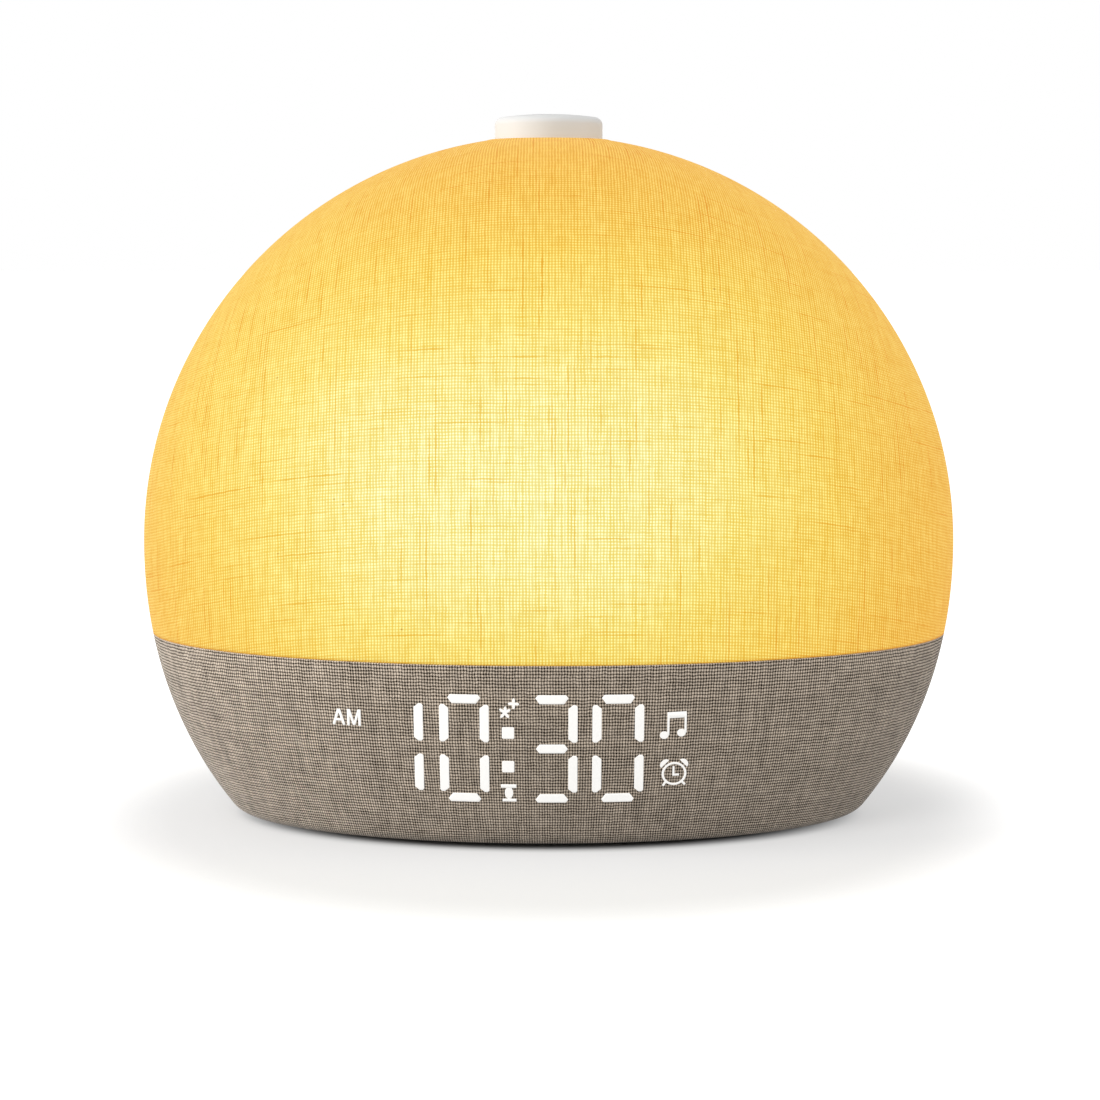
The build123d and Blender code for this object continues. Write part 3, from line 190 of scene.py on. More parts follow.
# node helper: each call adds a node, so that a formula reads as one
class NodeMaker:
    def __init__(self, name):
        self.material = bpy.data.materials.new(name)
        self.material.use_nodes = True
        self.tree = self.material.node_tree
        self.shader = self.tree.nodes["Principled BSDF"]
        self.count = 0

    def add(self, kind, **values):
        node = self.tree.nodes.new(kind)
        node.location = (-220 * (1 + self.count % 12), -180 * (self.count // 12))
        self.count += 1
        for key, value in values.items():
            setattr(node, key, value)
        return node

    def feed(self, socket, value):
        if isinstance(value, bpy.types.NodeSocket):
            self.tree.links.new(value, socket)
        elif isinstance(value, tuple) and socket.type == "RGBA":
            socket.default_value = (*value[:3], 1.0)
        else:
            socket.default_value = value

    def feedAll(self, node, values):
        for socket, value in zip(node.inputs, values):
            self.feed(socket, value)

    def math(self, operation, *values, clamp=False):
        node = self.add("ShaderNodeMath", operation=operation, use_clamp=clamp)
        self.feedAll(node, values)
        return node.outputs[0]

    def plus(self, *values):
        total = values[0]
        for value in values[1:]:
            total = self.math("ADD", total, value)
        return total

    def minus(self, first, second):
        return self.math("SUBTRACT", first, second)

    def times(self, *values):
        total = values[0]
        for value in values[1:]:
            total = self.math("MULTIPLY", total, value)
        return total

    def mix(self, factor, first, second, blend="MIX"):
        node = self.add("ShaderNodeMix", data_type="RGBA", blend_type=blend)
        self.feed(node.inputs[0], factor)
        self.feed(node.inputs[6], first)
        self.feed(node.inputs[7], second)
        return node.outputs[2]

    def tinted(self, colour, tint):
        return self.mix(1.0, colour, tint, "MULTIPLY")

    def scaled(self, colour, level):
        return self.mix(1.0, colour, self.vector(level, level, level), "MULTIPLY")

    def smooth(self, value, low, high, start=0.0, end=1.0):
        node = self.add("ShaderNodeMapRange", interpolation_type="SMOOTHSTEP")
        self.feedAll(node, (value, low, high, start, end))
        return node.outputs[0]

    def vector(self, x, y, z=0.0):
        node = self.add("ShaderNodeCombineXYZ")
        self.feedAll(node, (x, y, z))
        return node.outputs[0]

    def split(self, vector):
        node = self.add("ShaderNodeSeparateXYZ")
        self.feed(node.inputs[0], vector)
        return node.outputs[0], node.outputs[1], node.outputs[2]

    def noise(self, vector, scale, detail=2.0, rough=0.5):
        node = self.add("ShaderNodeTexNoise")
        self.feed(node.inputs["Vector"], vector)
        node.inputs["Scale"].default_value = scale
        node.inputs["Detail"].default_value = detail
        node.inputs["Roughness"].default_value = rough
        return node.outputs[0]

    def speckle(self, vector):
        node = self.add("ShaderNodeTexWhiteNoise", noise_dimensions="3D")
        self.feed(node.inputs["Vector"], vector)
        return node.outputs["Value"]

    def ramp(self, factor, stops):
        node = self.add("ShaderNodeValToRGB")
        line = node.color_ramp
        while len(line.elements) < len(stops):
            line.elements.new(0.5)
        for element, (place, colour) in zip(line.elements, stops):
            element.position = place
            element.color = (*colour, 1.0)
        self.feed(node.inputs[0], factor)
        return node.outputs[0]

    def place(self):
        return self.add("ShaderNodeTexCoord").outputs["Object"]

    def threadCounts(self):
        return self.add("ShaderNodeUVMap", uv_map="threads").outputs[0]

    def bump(self, height, distance, strength=1.0):
        node = self.add("ShaderNodeBump")
        node.inputs["Strength"].default_value = strength
        node.inputs["Distance"].default_value = distance
        self.feed(node.inputs["Height"], height)
        return node.outputs[0]

    def set(self, **values):
        for name, value in values.items():
            socket = self.shader.inputs[socketNames[name]]
            self.feed(socket, value)
        return self.material


socketNames = {
    "colour": "Base Color", "rough": "Roughness", "metal": "Metallic", "normal": "Normal",
    "specular": "Specular IOR Level", "sheen": "Sheen Weight", "sheenRough": "Sheen Roughness",
    "glow": "Emission Color", "glowStrength": "Emission Strength", "coat": "Coat Weight",
    "coatRough": "Coat Roughness", "subsurface": "Subsurface Weight", "anisotropic": "Anisotropic",
    "clear": "Transmission Weight",
}


# plain weave, counted in threads: a whole number is the middle of a thread
weaveNoise = {
    "rearStart": 400.0,  # the rear half counts on from here, so that its threads differ from the front's
    "driftRates": (0.09, 0.30),  # noise steps for each thread, along the two ways
    "wobbleRates": (0.23, 0.52),
    "warpStep": 7.31,  # noise steps from one thread to the next
    "weftStep": 5.17,
    "alongRate": 0.16,
    "level": 0.7,  # height of a thread, and what passing over or under adds or takes
    "overLift": 0.3,
}


def weaveParts(maker, look):
    near, far = weaveNoise["driftRates"]
    slow, quick = weaveNoise["wobbleRates"]
    alongRate, level, lift = weaveNoise["alongRate"], weaveNoise["level"], weaveNoise["overLift"]
    countU, countV, _ = maker.split(maker.threadCounts())
    _, y, _ = maker.split(maker.place())
    countU = maker.plus(countU, maker.times(maker.math("GREATER_THAN", y, 0.0), weaveNoise["rearStart"]))
    driftU = maker.noise(maker.vector(maker.times(countU, near), maker.times(countV, far), 1.3), 1.0, 1.0)
    driftV = maker.noise(maker.vector(maker.times(countU, far), maker.times(countV, near), 7.9), 1.0, 1.0)
    wobbleU = maker.noise(maker.vector(maker.times(countU, slow), maker.times(countV, quick), 15.1), 1.0, 1.0)
    wobbleV = maker.noise(maker.vector(maker.times(countU, quick), maker.times(countV, slow), 19.7), 1.0, 1.0)
    u = maker.plus(countU, maker.times(maker.minus(driftU, 0.5), look["drift"]),
                   maker.times(maker.minus(wobbleU, 0.5), look["wobble"]))
    v = maker.plus(countV, maker.times(maker.minus(driftV, 0.5), look["drift"]),
                   maker.times(maker.minus(wobbleV, 0.5), look["wobble"]))
    threadU = maker.math("ROUND", u)
    threadV = maker.math("ROUND", v)
    offU = maker.math("ABSOLUTE", maker.minus(u, threadU))
    offV = maker.math("ABSOLUTE", maker.minus(v, threadV))
    alongWarp = maker.vector(maker.times(threadU, weaveNoise["warpStep"]), maker.times(v, alongRate), 3.7)
    fatU = maker.noise(alongWarp, 1.0, 2.0)
    alongWeft = maker.vector(maker.times(u, alongRate), maker.times(threadV, weaveNoise["weftStep"]), 11.3)
    fatV = maker.noise(alongWeft, 1.0, 2.0)
    halfU = maker.plus(look["threadWidth"] / 2, maker.times(maker.minus(fatU, 0.5), look["unevenness"]))
    halfV = maker.plus(look["threadWidth"] / 2, maker.times(maker.minus(fatV, 0.5), look["unevenness"]))
    soft = look["softness"]
    warp = maker.smooth(offU, maker.plus(halfU, soft), maker.minus(halfU, soft))
    weft = maker.smooth(offV, maker.plus(halfV, soft), maker.minus(halfV, soft))
    odd = maker.math("FLOORED_MODULO", maker.plus(threadU, threadV), 2.0)
    over = maker.minus(maker.times(odd, 2.0), 1.0)
    warpHigh = maker.times(warp, maker.plus(level, maker.times(over, lift)))
    weftHigh = maker.times(weft, maker.minus(level, maker.times(over, lift)))
    return {
        "u": u, "v": v, "threadU": threadU, "threadV": threadV, "warp": warp, "weft": weft,
        "hole": maker.times(maker.minus(1.0, warp), maker.minus(1.0, weft)),
        "crossing": maker.times(warp, weft),
        "height": maker.math("MAXIMUM", warpHigh, weftHigh),
    }


def slubs(maker, weave, rates, starts, reach):
    # noise drawn out along each thread passes its limit only now and then
    warpPlace = maker.times(weave["threadU"], weaveNoise["warpStep"])
    alongWarp = maker.vector(warpPlace, maker.times(weave["v"], rates[0]), 23.7)
    weftRun = maker.times(weave["u"], rates[1])
    alongWeft = maker.vector(weftRun, maker.times(weave["threadV"], weaveNoise["weftStep"]), 31.3)
    thickWarp = maker.smooth(maker.noise(alongWarp, 1.0, 1.0), starts[0], starts[0] + reach)
    thickWeft = maker.smooth(maker.noise(alongWeft, 1.0, 1.0), starts[1], starts[1] + reach)
    shownWarp = maker.times(thickWarp, weave["warp"])
    return maker.math("MAXIMUM", shownWarp, maker.times(thickWeft, weave["weft"]))


# shade: open linen-look cloth, lit warm from inside
shadeLook = {
    "thickness": 0.6 * mm,
    "warpPitch": 0.64 * mm,
    "weftPitch": 0.62 * mm,
    "sag": 12.3 * mm,  # a weft thread at the side, below the same thread at the front
    "threadWidth": 0.56,  # in pitches, as are the next four
    "unevenness": 0.45,
    "softness": 0.13,
    "drift": 0.35,
    "wobble": 0.10,
    "hotX": -7.0 * mm,
    "hotZ": 76.0 * mm,
    "hotReachX": 70.0 * mm,
    "hotReachZ": 49.0 * mm,
    "hotPowers": (2.6, 2.3),  # how squarely the glow falls off, along x and z
    "patchScale": 30.0,
    "patchShare": 0.16,
    "streakRates": (0.035, 0.05),
    "streakShares": (0.65, 0.35),
    "streakBand": (0.34, 0.66),
    "knotLimit": 0.9998,  # a knot where the crossing's random value is above this
    "knotShare": 0.8,
    "slubHeight": 0.4,
    "sagHeights": (75, 102, 128, 146),  # mm, with the share of sag at each
    "sagShares": (1.0, 1.25, 2.0, 2.3),
    "wellRoll": 0.7 * mm,
    "glow": [  # from the dim rim to the hot middle
        (0.0, (0.845, 0.465, 0.067)),
        (0.45, (0.885, 0.675, 0.135)),
        (0.7, (0.89, 0.775, 0.212)),
        (1.0, (0.89, 0.89, 0.40)),
    ],
    "holeTint": (1.12, 1.28, 1.95),
    "weftTint": (0.975, 0.93, 0.80),
    "warpTint": (0.90, 0.795, 0.49),
    "crossingTint": (0.92, 0.88, 0.88),
    "hotTintShare": 0.54,  # of the threads' tints where the glow is hottest
    "paleStreak": (1.02, 1.03, 1.13),
    "deepStreak": (0.98, 0.90, 0.64),
    "slubTint": (0.965, 0.79, 0.45),
    "slubRates": (0.021, 0.026),
    "slubStarts": (0.60, 0.62),
    "slubReach": 0.13,
    # painted shade: the glow darkened in a thin band just above the seam, where the cloth tucks in
    "seamShadeTint": (0.90, 0.74, 0.50),
    "seamShadeHeight": 0.5 * mm,
    "knot": (0.42, 0.20, 0.04),
    "cloth": (0.12, 0.075, 0.022),
    "slubCloth": (0.10, 0.06, 0.015),
}


def shadeThreads(look, heights, across, along, run, turns):
    # warp: length round the section over its pitch; weft: length up the cloth, sagging with |sin|^3
    u = arcFromMiddle(across, along, turns) / look["warpPitch"]
    more = np.interp(heights, np.array(look["sagHeights"]) * mm, look["sagShares"])
    v = (run[:, None] + look["sag"] * more[:, None] * np.abs(np.sin(turns)) ** 3) / look["weftPitch"]
    return u, v


def makeShadeCloth(look):
    # rows from the seam up to the rim, over the rolled edge and down into the well
    # each row is an ellipse: (across * sin(turn), -along * cos(turn), height)
    low = form["seamZ"] + form["seamGap"]
    rim = form["equatorZ"] + form["rise"] * math.sqrt(1 - (form["wellRadius"] / form["halfWidth"]) ** 2)
    angles = np.arcsin((np.array([low, rim]) - form["equatorZ"]) / form["rise"])
    heights = form["equatorZ"] + form["rise"] * np.sin(np.linspace(angles[0], angles[1], 100))
    heights = heights[:-1]
    across, along = acrossAt(heights), alongAt(heights)
    bend = np.linspace(0, math.pi / 2, 9)
    roll = look["wellRoll"]
    rollRadius = form["wellRadius"] + roll * (1 - np.sin(bend))
    rollHeight = rim - roll * (1 - np.cos(bend))
    downHeight = np.linspace(rollHeight[-1], rim - form["wellClothDepth"], 5)[1:]
    heights = np.concatenate([heights, rollHeight, downHeight])
    across = np.concatenate([across, rollRadius, np.full(4, form["wellRadius"])])
    along = np.concatenate([along, rollRadius, np.full(4, form["wellRadius"])])
    turns = np.linspace(0, 2 * math.pi, 321)
    threads = shadeThreads(look, heights, across, along, runUp(heights, along), turns)
    turn = turns[:-1]
    x = across[:, None] * np.sin(turn)
    y = -along[:, None] * np.cos(turn)
    z = np.repeat(heights[:, None], len(turn), 1)
    piece = gridPiece("shadeCloth", x, y, z, wrap=True, threads=threads)
    return thickened(piece, look["thickness"])


def shadeMaterial(look):
    maker = NodeMaker("litLinen")
    weave = weaveParts(maker, look)
    slub = slubs(maker, weave, look["slubRates"], look["slubStarts"], look["slubReach"])
    x, _, z = maker.split(maker.place())
    awayX = maker.math("ABSOLUTE", maker.math("DIVIDE", maker.minus(x, look["hotX"]), look["hotReachX"]))
    awayZ = maker.math("ABSOLUTE", maker.math("DIVIDE", maker.minus(z, look["hotZ"]), look["hotReachZ"]))
    powerX, powerZ = look["hotPowers"]
    away = maker.plus(maker.math("POWER", awayX, powerX), maker.math("POWER", awayZ, powerZ))
    near = maker.math("EXPONENT", maker.times(away, -1.0))
    patches = maker.noise(maker.place(), look["patchScale"], 3.0)
    near = maker.plus(near, maker.times(maker.minus(patches, 0.5), look["patchShare"]))
    glow = maker.ramp(near, look["glow"])
    warpRate, weftRate = look["streakRates"]
    warpPlace = maker.times(weave["threadU"], weaveNoise["warpStep"])
    warpStreak = maker.noise(maker.vector(warpPlace, maker.times(weave["v"], warpRate), 5.1), 1.0, 2.0)
    weftRun = maker.times(weave["u"], weftRate)
    weftPlace = maker.times(weave["threadV"], weaveNoise["weftStep"])
    weftStreak = maker.noise(maker.vector(weftRun, weftPlace, 9.4), 1.0, 2.0)
    warpShare, weftShare = look["streakShares"]
    streak = maker.plus(maker.times(warpStreak, warpShare), maker.times(weftStreak, weftShare))
    streak = maker.smooth(streak, *look["streakBand"])
    share = maker.smooth(near, 0.2, 1.0, 1.0, look["hotTintShare"])
    threadTint = maker.mix(weave["warp"], look["weftTint"], look["warpTint"])
    body = maker.mix(share, glow, threadTint, "MULTIPLY")
    body = maker.mix(weave["crossing"], body, maker.tinted(body, look["crossingTint"]))
    body = maker.tinted(body, maker.mix(streak, look["paleStreak"], look["deepStreak"]))
    body = maker.mix(slub, body, maker.tinted(body, look["slubTint"]))
    chance = maker.speckle(maker.vector(weave["threadU"], weave["threadV"], 8.0))
    knots = maker.math("GREATER_THAN", chance, look["knotLimit"])
    body = maker.mix(maker.times(knots, weave["crossing"], look["knotShare"]), body, look["knot"])
    glowColour = maker.mix(weave["hole"], body, maker.tinted(glow, look["holeTint"]))
    low = form["seamZ"] + form["seamGap"]
    # painted shade along the foot of the shade cloth, in a thin band just above the seam
    seamShade = maker.smooth(z, low + look["seamShadeHeight"], low + look["seamShadeHeight"] * 0.3)
    glowColour = maker.tinted(glowColour, maker.mix(seamShade, (1.0, 1.0, 1.0), look["seamShadeTint"]))
    height = maker.plus(weave["height"], maker.times(slub, look["slubHeight"]))
    return maker.set(
        colour=maker.mix(slub, look["cloth"], look["slubCloth"]), glow=glowColour, glowStrength=1.0,
        rough=0.85, specular=0.1, sheen=0.09, sheenRough=0.5, normal=maker.bump(height, 0.12 * mm, 0.7))


shadeCloth = makeShadeCloth(shadeLook)
finish(shadeCloth, mainBody, "shade_cloth", shadeMaterial(shadeLook), "shade_fabric")
print("shade made")

# base: taupe cloth over the lower housing, turned under at the bottom, open round the rear panel
baseLook = {
    "thickness": 0.8 * mm,
    "warpPitch": 0.575 * mm,
    "weftPitch": 0.68 * mm,
    "threadWidth": 0.58,
    "unevenness": 0.35,
    "softness": 0.09,
    "drift": 0.35,
    "wobble": 0.42,
    "thread": (0.270, 0.219, 0.168),
    # crossing: a painted highlight on the thread tops where they cross
    "crossing": (0.79, 0.675, 0.56),
    # hole: the gaps between threads, partly the dark inside seen through them and partly painted shade
    "hole": (0.005, 0.0035, 0.002),
    "openingHalfWidth": 46.3 * mm,
    "openingHalfHeight": 13.2 * mm,
    "openingMiddleZ": 20.5 * mm,
    "openingCorner": 7.3 * mm,
    "warpTone": 0.16,  # spread of tone from thread to thread
    "weftTone": 0.14,
    "patchRate": 0.12,
    "patchShare": 0.35,
    # fine fibre fuzz that breaks up the painted highlight at the crossings
    "highlightFuzzScale": 5200.0,
    "highlightFuzzLow": 0.55,
    "highlightFuzzShare": 0.9,
    "specular": 0.1,
    "sheen": 0.38,
}


def makeBaseCloth(look):
    # wall: ellipses from the seam down to the round. Round: a circle of the bottom radius that meets the wall
    # at its slope and the underside level. Lip: straight in to the plate.
    under, radius = form["undersideZ"], form["bottomRadius"]
    turns = np.linspace(0, 2 * math.pi, 361)
    turn = turns[:-1]
    wayX, wayY = np.sin(turn) * form["halfDepth"], -np.cos(turn) * form["halfWidth"]
    wayX, wayY = wayX / np.hypot(wayX, wayY), wayY / np.hypot(wayX, wayY)
    guess = under + 0.5 * radius
    step = 0.1 * mm
    slopeX = (acrossAt(guess + step) - acrossAt(guess - step)) / (2 * step)
    slopeY = (alongAt(guess + step) - alongAt(guess - step)) / (2 * step)
    # how fast the wall leans out, going up
    outward = slopeX * np.sin(turn) * wayX - slopeY * np.cos(turn) * wayY
    lean = np.arctan(outward)
    meetZ = under + radius * (1 - np.sin(lean))
    down = np.linspace(0, 1, 66)[:, None]
    wallZ = form["seamZ"] + (meetZ - form["seamZ"]) * down
    wallX, wallY = acrossAt(wallZ) * np.sin(turn), -alongAt(wallZ) * np.cos(turn)
    tilt = lean + (math.pi / 2 - lean) * np.linspace(0, 1, 12)[1:, None]
    centreX = wallX[-1] - radius * np.cos(lean) * wayX
    centreY = wallY[-1] - radius * np.cos(lean) * wayY
    roundX = centreX + radius * np.cos(tilt) * wayX
    roundY = centreY + radius * np.cos(tilt) * wayY
    roundZ = under + radius * (1 - np.sin(tilt))
    inward = np.linspace(0, 1, 5)[1:, None]
    lipX = roundX[-1] + ((acrossAt(under) - form["plateMargin"]) * np.sin(turn) - roundX[-1]) * inward
    lipY = roundY[-1] + (-(alongAt(under) - form["plateMargin"]) * np.cos(turn) - roundY[-1]) * inward
    x = np.concatenate([wallX, roundX, lipX])
    y = np.concatenate([wallY, roundY, lipY])
    z = np.concatenate([wallZ, roundZ, np.full_like(lipX, under)])
    threads = baseThreads(look, z, x, y, turns)
    piece = gridPiece("baseCloth", x, y, z, wrap=True, flip=True, threads=threads)
    thickened(piece, look["thickness"])
    return cutOpening(piece, look)


def baseThreads(look, z, x, y, turns):
    # weft threads lie level; warp threads lean in by half as much as the form does towards the bottom
    across, along = np.abs(x[:, x.shape[1] // 4]), np.abs(y[:, 0])
    here = arcFromMiddle(across, along, turns)
    above = arcFromMiddle(across[:1], along[:1], turns)
    u = (here + above) / 2 / look["warpPitch"]
    v = np.repeat(runUp(z[:, 0], along)[:, None], len(turns), 1) / look["weftPitch"]
    return u, v


def cutOpening(piece, look):
    # a rounded rectangle, carried along Y, takes the opening out of the rear
    corner = look["openingCorner"]
    turn = np.linspace(0, 2 * math.pi, 80, endpoint=False)
    x = np.sign(np.cos(turn)) * (look["openingHalfWidth"] - corner) + corner * np.cos(turn)
    straight = look["openingHalfHeight"] - corner
    z = look["openingMiddleZ"] + np.sign(np.sin(turn)) * straight + corner * np.sin(turn)
    ring = np.arange(80)
    frontRing, rearRing = [np.stack([x, np.full(80, depth * mm), z], -1) for depth in (5, 80)]
    points = np.concatenate([frontRing, rearRing])
    sides = np.stack([ring, ring + 80, (ring + 1) % 80 + 80, (ring + 1) % 80], -1).tolist()
    cutter = bpy.data.objects.new("openingCutter", bpy.data.meshes.new("openingCutter"))
    cutter.data.from_pydata(points.tolist(), [], sides + [ring.tolist(), (ring + 80)[::-1].tolist()])
    bpy.context.scene.collection.objects.link(cutter)
    cut = piece.modifiers.new("opening", "BOOLEAN")
    cut.operation = "DIFFERENCE"
    cut.solver = "EXACT"
    cut.object = cutter
    applied(piece)
    bpy.data.objects.remove(cutter)
    return piece


def baseMaterial(look):
    maker = NodeMaker("taupeWeave")
    weave = weaveParts(maker, look)
    warpTone = maker.speckle(maker.vector(weave["threadU"], 3.0, 0.5))
    weftTone = maker.speckle(maker.vector(weave["threadV"], 9.0, 0.5))
    rate = look["patchRate"]
    broad = maker.vector(maker.times(weave["u"], rate), maker.times(weave["v"], rate), 4.0)
    patches = maker.noise(broad, 1.0, 3.0)
    tone = maker.plus(1.0, maker.times(maker.minus(warpTone, 0.5), look["warpTone"]),
                      maker.times(maker.minus(weftTone, 0.5), look["weftTone"]),
                      maker.times(maker.minus(patches, 0.5), look["patchShare"]))
    # painted highlight: the crossings drawn towards the light crossing colour, broken by fuzz
    highlightFuzz = maker.noise(maker.place(), look["highlightFuzzScale"], 2.0)
    light = maker.times(weave["crossing"], maker.plus(look["highlightFuzzLow"], maker.times(highlightFuzz, look["highlightFuzzShare"])))
    thread = maker.scaled(maker.mix(light, look["thread"], look["crossing"]), tone)
    # the gaps: partly the dark inside seen through the cloth, partly painted shade
    cloth = maker.mix(weave["hole"], thread, look["hole"])
    solid = maker.minus(1.0, weave["hole"])
    return maker.set(
        colour=cloth, rough=0.9, specular=maker.times(solid, look["specular"]),
        sheen=maker.times(solid, look["sheen"]), sheenRough=0.45,
        normal=maker.bump(weave["height"], 0.2 * mm, 0.8))


baseCloth = makeBaseCloth(baseLook)
finish(baseCloth, mainBody, "base_cloth", baseMaterial(baseLook), "base_fabric")
print("base made")

# lit figures: the light of the display on the cloth, as thin patches that follow it
figureLook = {
    "proud": 0.05,  # mm, as are all sizes here
    "proudStep": 0.0004,
    "thickness": 0.06,
    "lowZ": 11.0,
    "highZ": 34.0,
    "uprightWidth": 1.84,
    "upperUpright": (24.0, 31.9),
    "lowerUpright": (13.2, 21.2),
    "barHeight": 1.86,
    "middleBarZ": 22.7,
    "colonSide": 2.44,
    "colonTops": (27.28, 20.05),
    "colour": (0.97, 0.965, 0.95),
}


def outlinePatch(middleX, topZ, height, levels, lefts, rights):
    # rows down a shape, each from its left end to its right end, read off at its level
    # the level is 0 at the top and 1 at the foot
    rows = np.unique(np.concatenate([np.linspace(0, 1, 7), levels]))
    left, right = np.interp(rows, levels, lefts)[:, None], np.interp(rows, levels, rights)[:, None]
    x = middleX + left + (right - left) * np.linspace(0, 1, 11)
    return x, (topZ - rows * height)[:, None] + np.zeros(11)


def barPatch(middleX, topZ, height, halfLengths, levels):
    return outlinePatch(middleX, topZ, height, levels, [-half for half in halfLengths], halfLengths)


def uprightPatch(middleX, ends, half, side):
    # the inner corners are cut back further than the outer ones; side is 1 where the outer side is the right
    tall = ends[1] - ends[0]
    levels = [0.0, 0.4 / tall, 0.75 / tall, 1 - 0.75 / tall, 1 - 0.4 / tall, 1.0]
    inner = [-0.02, -half * 0.48, -half, -half, -half * 0.48, -0.02]
    outer = [0.62, half, half, half, half, 0.62]
    if side > 0:
        return outlinePatch(middleX, ends[1], tall, levels, inner, outer)
    return outlinePatch(middleX, ends[1], tall, levels, [-x for x in outer], [-x for x in inner])


def strokePatch(startX, startZ, endX, endZ, width):
    # a straight stroke: points along it, moved to either side by half its width
    t = np.linspace(0, 1, 9)[:, None]
    side = np.linspace(-1, 1, 3) * width / 2
    length = math.hypot(endX - startX, endZ - startZ)
    wayX, wayZ = (endX - startX) / length, (endZ - startZ) / length
    return startX + (endX - startX) * t + wayZ * side, startZ + (endZ - startZ) * t - wayX * side


def ringPatch(middleX, middleZ, outer, inner):
    turn = np.linspace(0, 2 * math.pi, 41)
    radius = np.linspace(inner, outer, 3)[:, None]
    return middleX + radius * np.cos(turn), middleZ - radius * np.sin(turn)


def turnedAbout(middleX, middleZ, x, z, lean):
    return (middleX + x * math.cos(lean) - z * math.sin(lean),
            middleZ + x * math.sin(lean) + z * math.cos(lean))


def spotPatch(middleX, middleZ, halfX, halfZ, lean=0.0):
    # a square pressed into a disc, then stretched and turned: x = u sqrt(1 - v^2 / 2), z = v sqrt(1 - u^2 / 2)
    u, v = np.meshgrid(np.linspace(-1, 1, 9), np.linspace(1, -1, 9))
    x, z = u * np.sqrt(1 - v ** 2 / 2) * halfX, v * np.sqrt(1 - u ** 2 / 2) * halfZ
    return turnedAbout(middleX, middleZ, x, z, lean)


def halfDiscPatch(middleX, middleZ, radius, height, lean):
    # rows up from the flat side, shortening as sqrt(1 - v^2), turned by lean
    u, v = np.meshgrid(np.linspace(-1, 1, 9), np.linspace(0.985, 0, 9))
    x, z = u * np.sqrt(1 - v ** 2) * radius, v * height
    return turnedAbout(middleX, middleZ, x, z, lean)


def digitPatches(look, figure, leftX, width):
    # a seven-part digit, from its level bars and its uprights
    middleX, half = leftX + width / 2, look["uprightWidth"] / 2
    high, low, bar = look["highZ"], look["lowZ"], look["barHeight"]
    patches = []
    if figure in "03":
        patches.append(barPatch(middleX, high, bar, (2.8, 3.3, 2.45), (0.0, 0.35, 1.0)))
        patches.append(barPatch(middleX, low + bar, bar, (2.4, 3.3, 2.85), (0.0, 0.65, 1.0)))
    if figure == "3":
        patches.append(barPatch(middleX, look["middleBarZ"] + bar / 2, bar, (2.5, 3.2, 2.5), (0.0, 0.5, 1.0)))
    sides = [(leftX + width - half, 1)] + ([(leftX + half, -1)] if figure == "0" else [])
    for x, side in sides:
        patches += [uprightPatch(x, look[ends], half, side) for ends in ("upperUpright", "lowerUpright")]
    return patches


def signPatches():
    strokes = [  # start x, start z, end x, end z, width
        (-43.45, 26.6, -42.45, 29.95, 0.52), (-41.3, 26.6, -42.35, 29.95, 0.52),  # A, then M
        (-43.05, 27.7, -41.7, 27.7, 0.46),
        (-40.4, 26.55, -40.4, 30.05, 0.52), (-38.1, 26.55, -38.1, 30.05, 0.52),
        (-40.25, 29.95, -39.28, 26.75, 0.46), (-38.25, 29.95, -39.22, 26.75, 0.46),
        (23.76, 29.47, 27.64, 29.56, 1.27), (23.97, 25.3, 23.97, 29.6, 0.43),  # note
        (27.44, 25.7, 27.44, 29.7, 0.43),
        (23.65, 15.25, 23.05, 14.3, 0.44), (26.85, 15.2, 27.55, 14.4, 0.44),  # alarm clock's feet and hands
        (25.17, 18.5, 25.17, 16.5, 0.4), (25.0, 16.65, 26.3, 16.65, 0.42),
        (-9.6, 14.63, -6.5, 14.63, 0.75), (-9.3, 11.53, -6.5, 11.53, 0.6),  # hourglass
    ]
    patches = [strokePatch(*stroke) for stroke in strokes]
    patches += [spotPatch(23.17, 25.26, 0.87, 0.8), spotPatch(26.65, 25.67, 0.87, 0.82)]
    patches += [ringPatch(25.3, 16.9, 2.52, 2.08)]
    patches += [halfDiscPatch(23.45, 19.0, 1.12, 0.9, 0.79), halfDiscPatch(27.2, 19.05, 1.05, 0.9, -0.81)]
    patches += [spotPatch(-8.0, 13.1, 0.84, 1.3)]
    sparkles = (
        (-8.76, 30.3, 1.3, (84, 32, 143, 231, 309)),
        (-7.0, 32.2, 1.1, (90, 180, 270, 355)),
    )
    for x, z, reach, arms in sparkles:
        for degrees in arms:
            turn = math.radians(degrees)
            patches.append(spotPatch(x + reach * 0.52 * math.cos(turn), z + reach * 0.52 * math.sin(turn),
                                     reach * 0.5, 0.29, turn))
    return patches


def makeLitFigures(look):
    step = look["proudStep"]
    # each patch is a grid of (x, z) put on the cloth by the form's own formula, one just above the last
    patches = digitPatches(look, "1", -35.1, 9.9) + digitPatches(look, "0", -21.9, 9.95)
    patches += digitPatches(look, "3", -4.5, 10.28) + digitPatches(look, "0", 8.73, 10.35)
    side = look["colonSide"]
    for topZ in look["colonTops"]:
        corners = (side / 2 - 0.18, side / 2, side / 2, side / 2 - 0.18)
        patches.append(barPatch(-8.12, topZ, side, corners, (0.0, 0.07, 0.93, 1.0)))
    patches += signPatches()
    points, faces, start = [], [], 0
    for order, (x, z) in enumerate(patches):
        proud = (look["proud"] + step * order) * mm
        y = frontY(x * mm, z * mm, proud)
        points.append(np.stack([x * mm, y, z * mm], -1).reshape(-1, 3))
        rowOf, columnOf = gridCorners(*x.shape, False, True)
        faces.append(start + rowOf * x.shape[1] + columnOf)
        start += x.size
    piece = addMesh("litFigures", np.concatenate(points), np.concatenate(faces))
    return thickened(piece, look["thickness"] * mm)


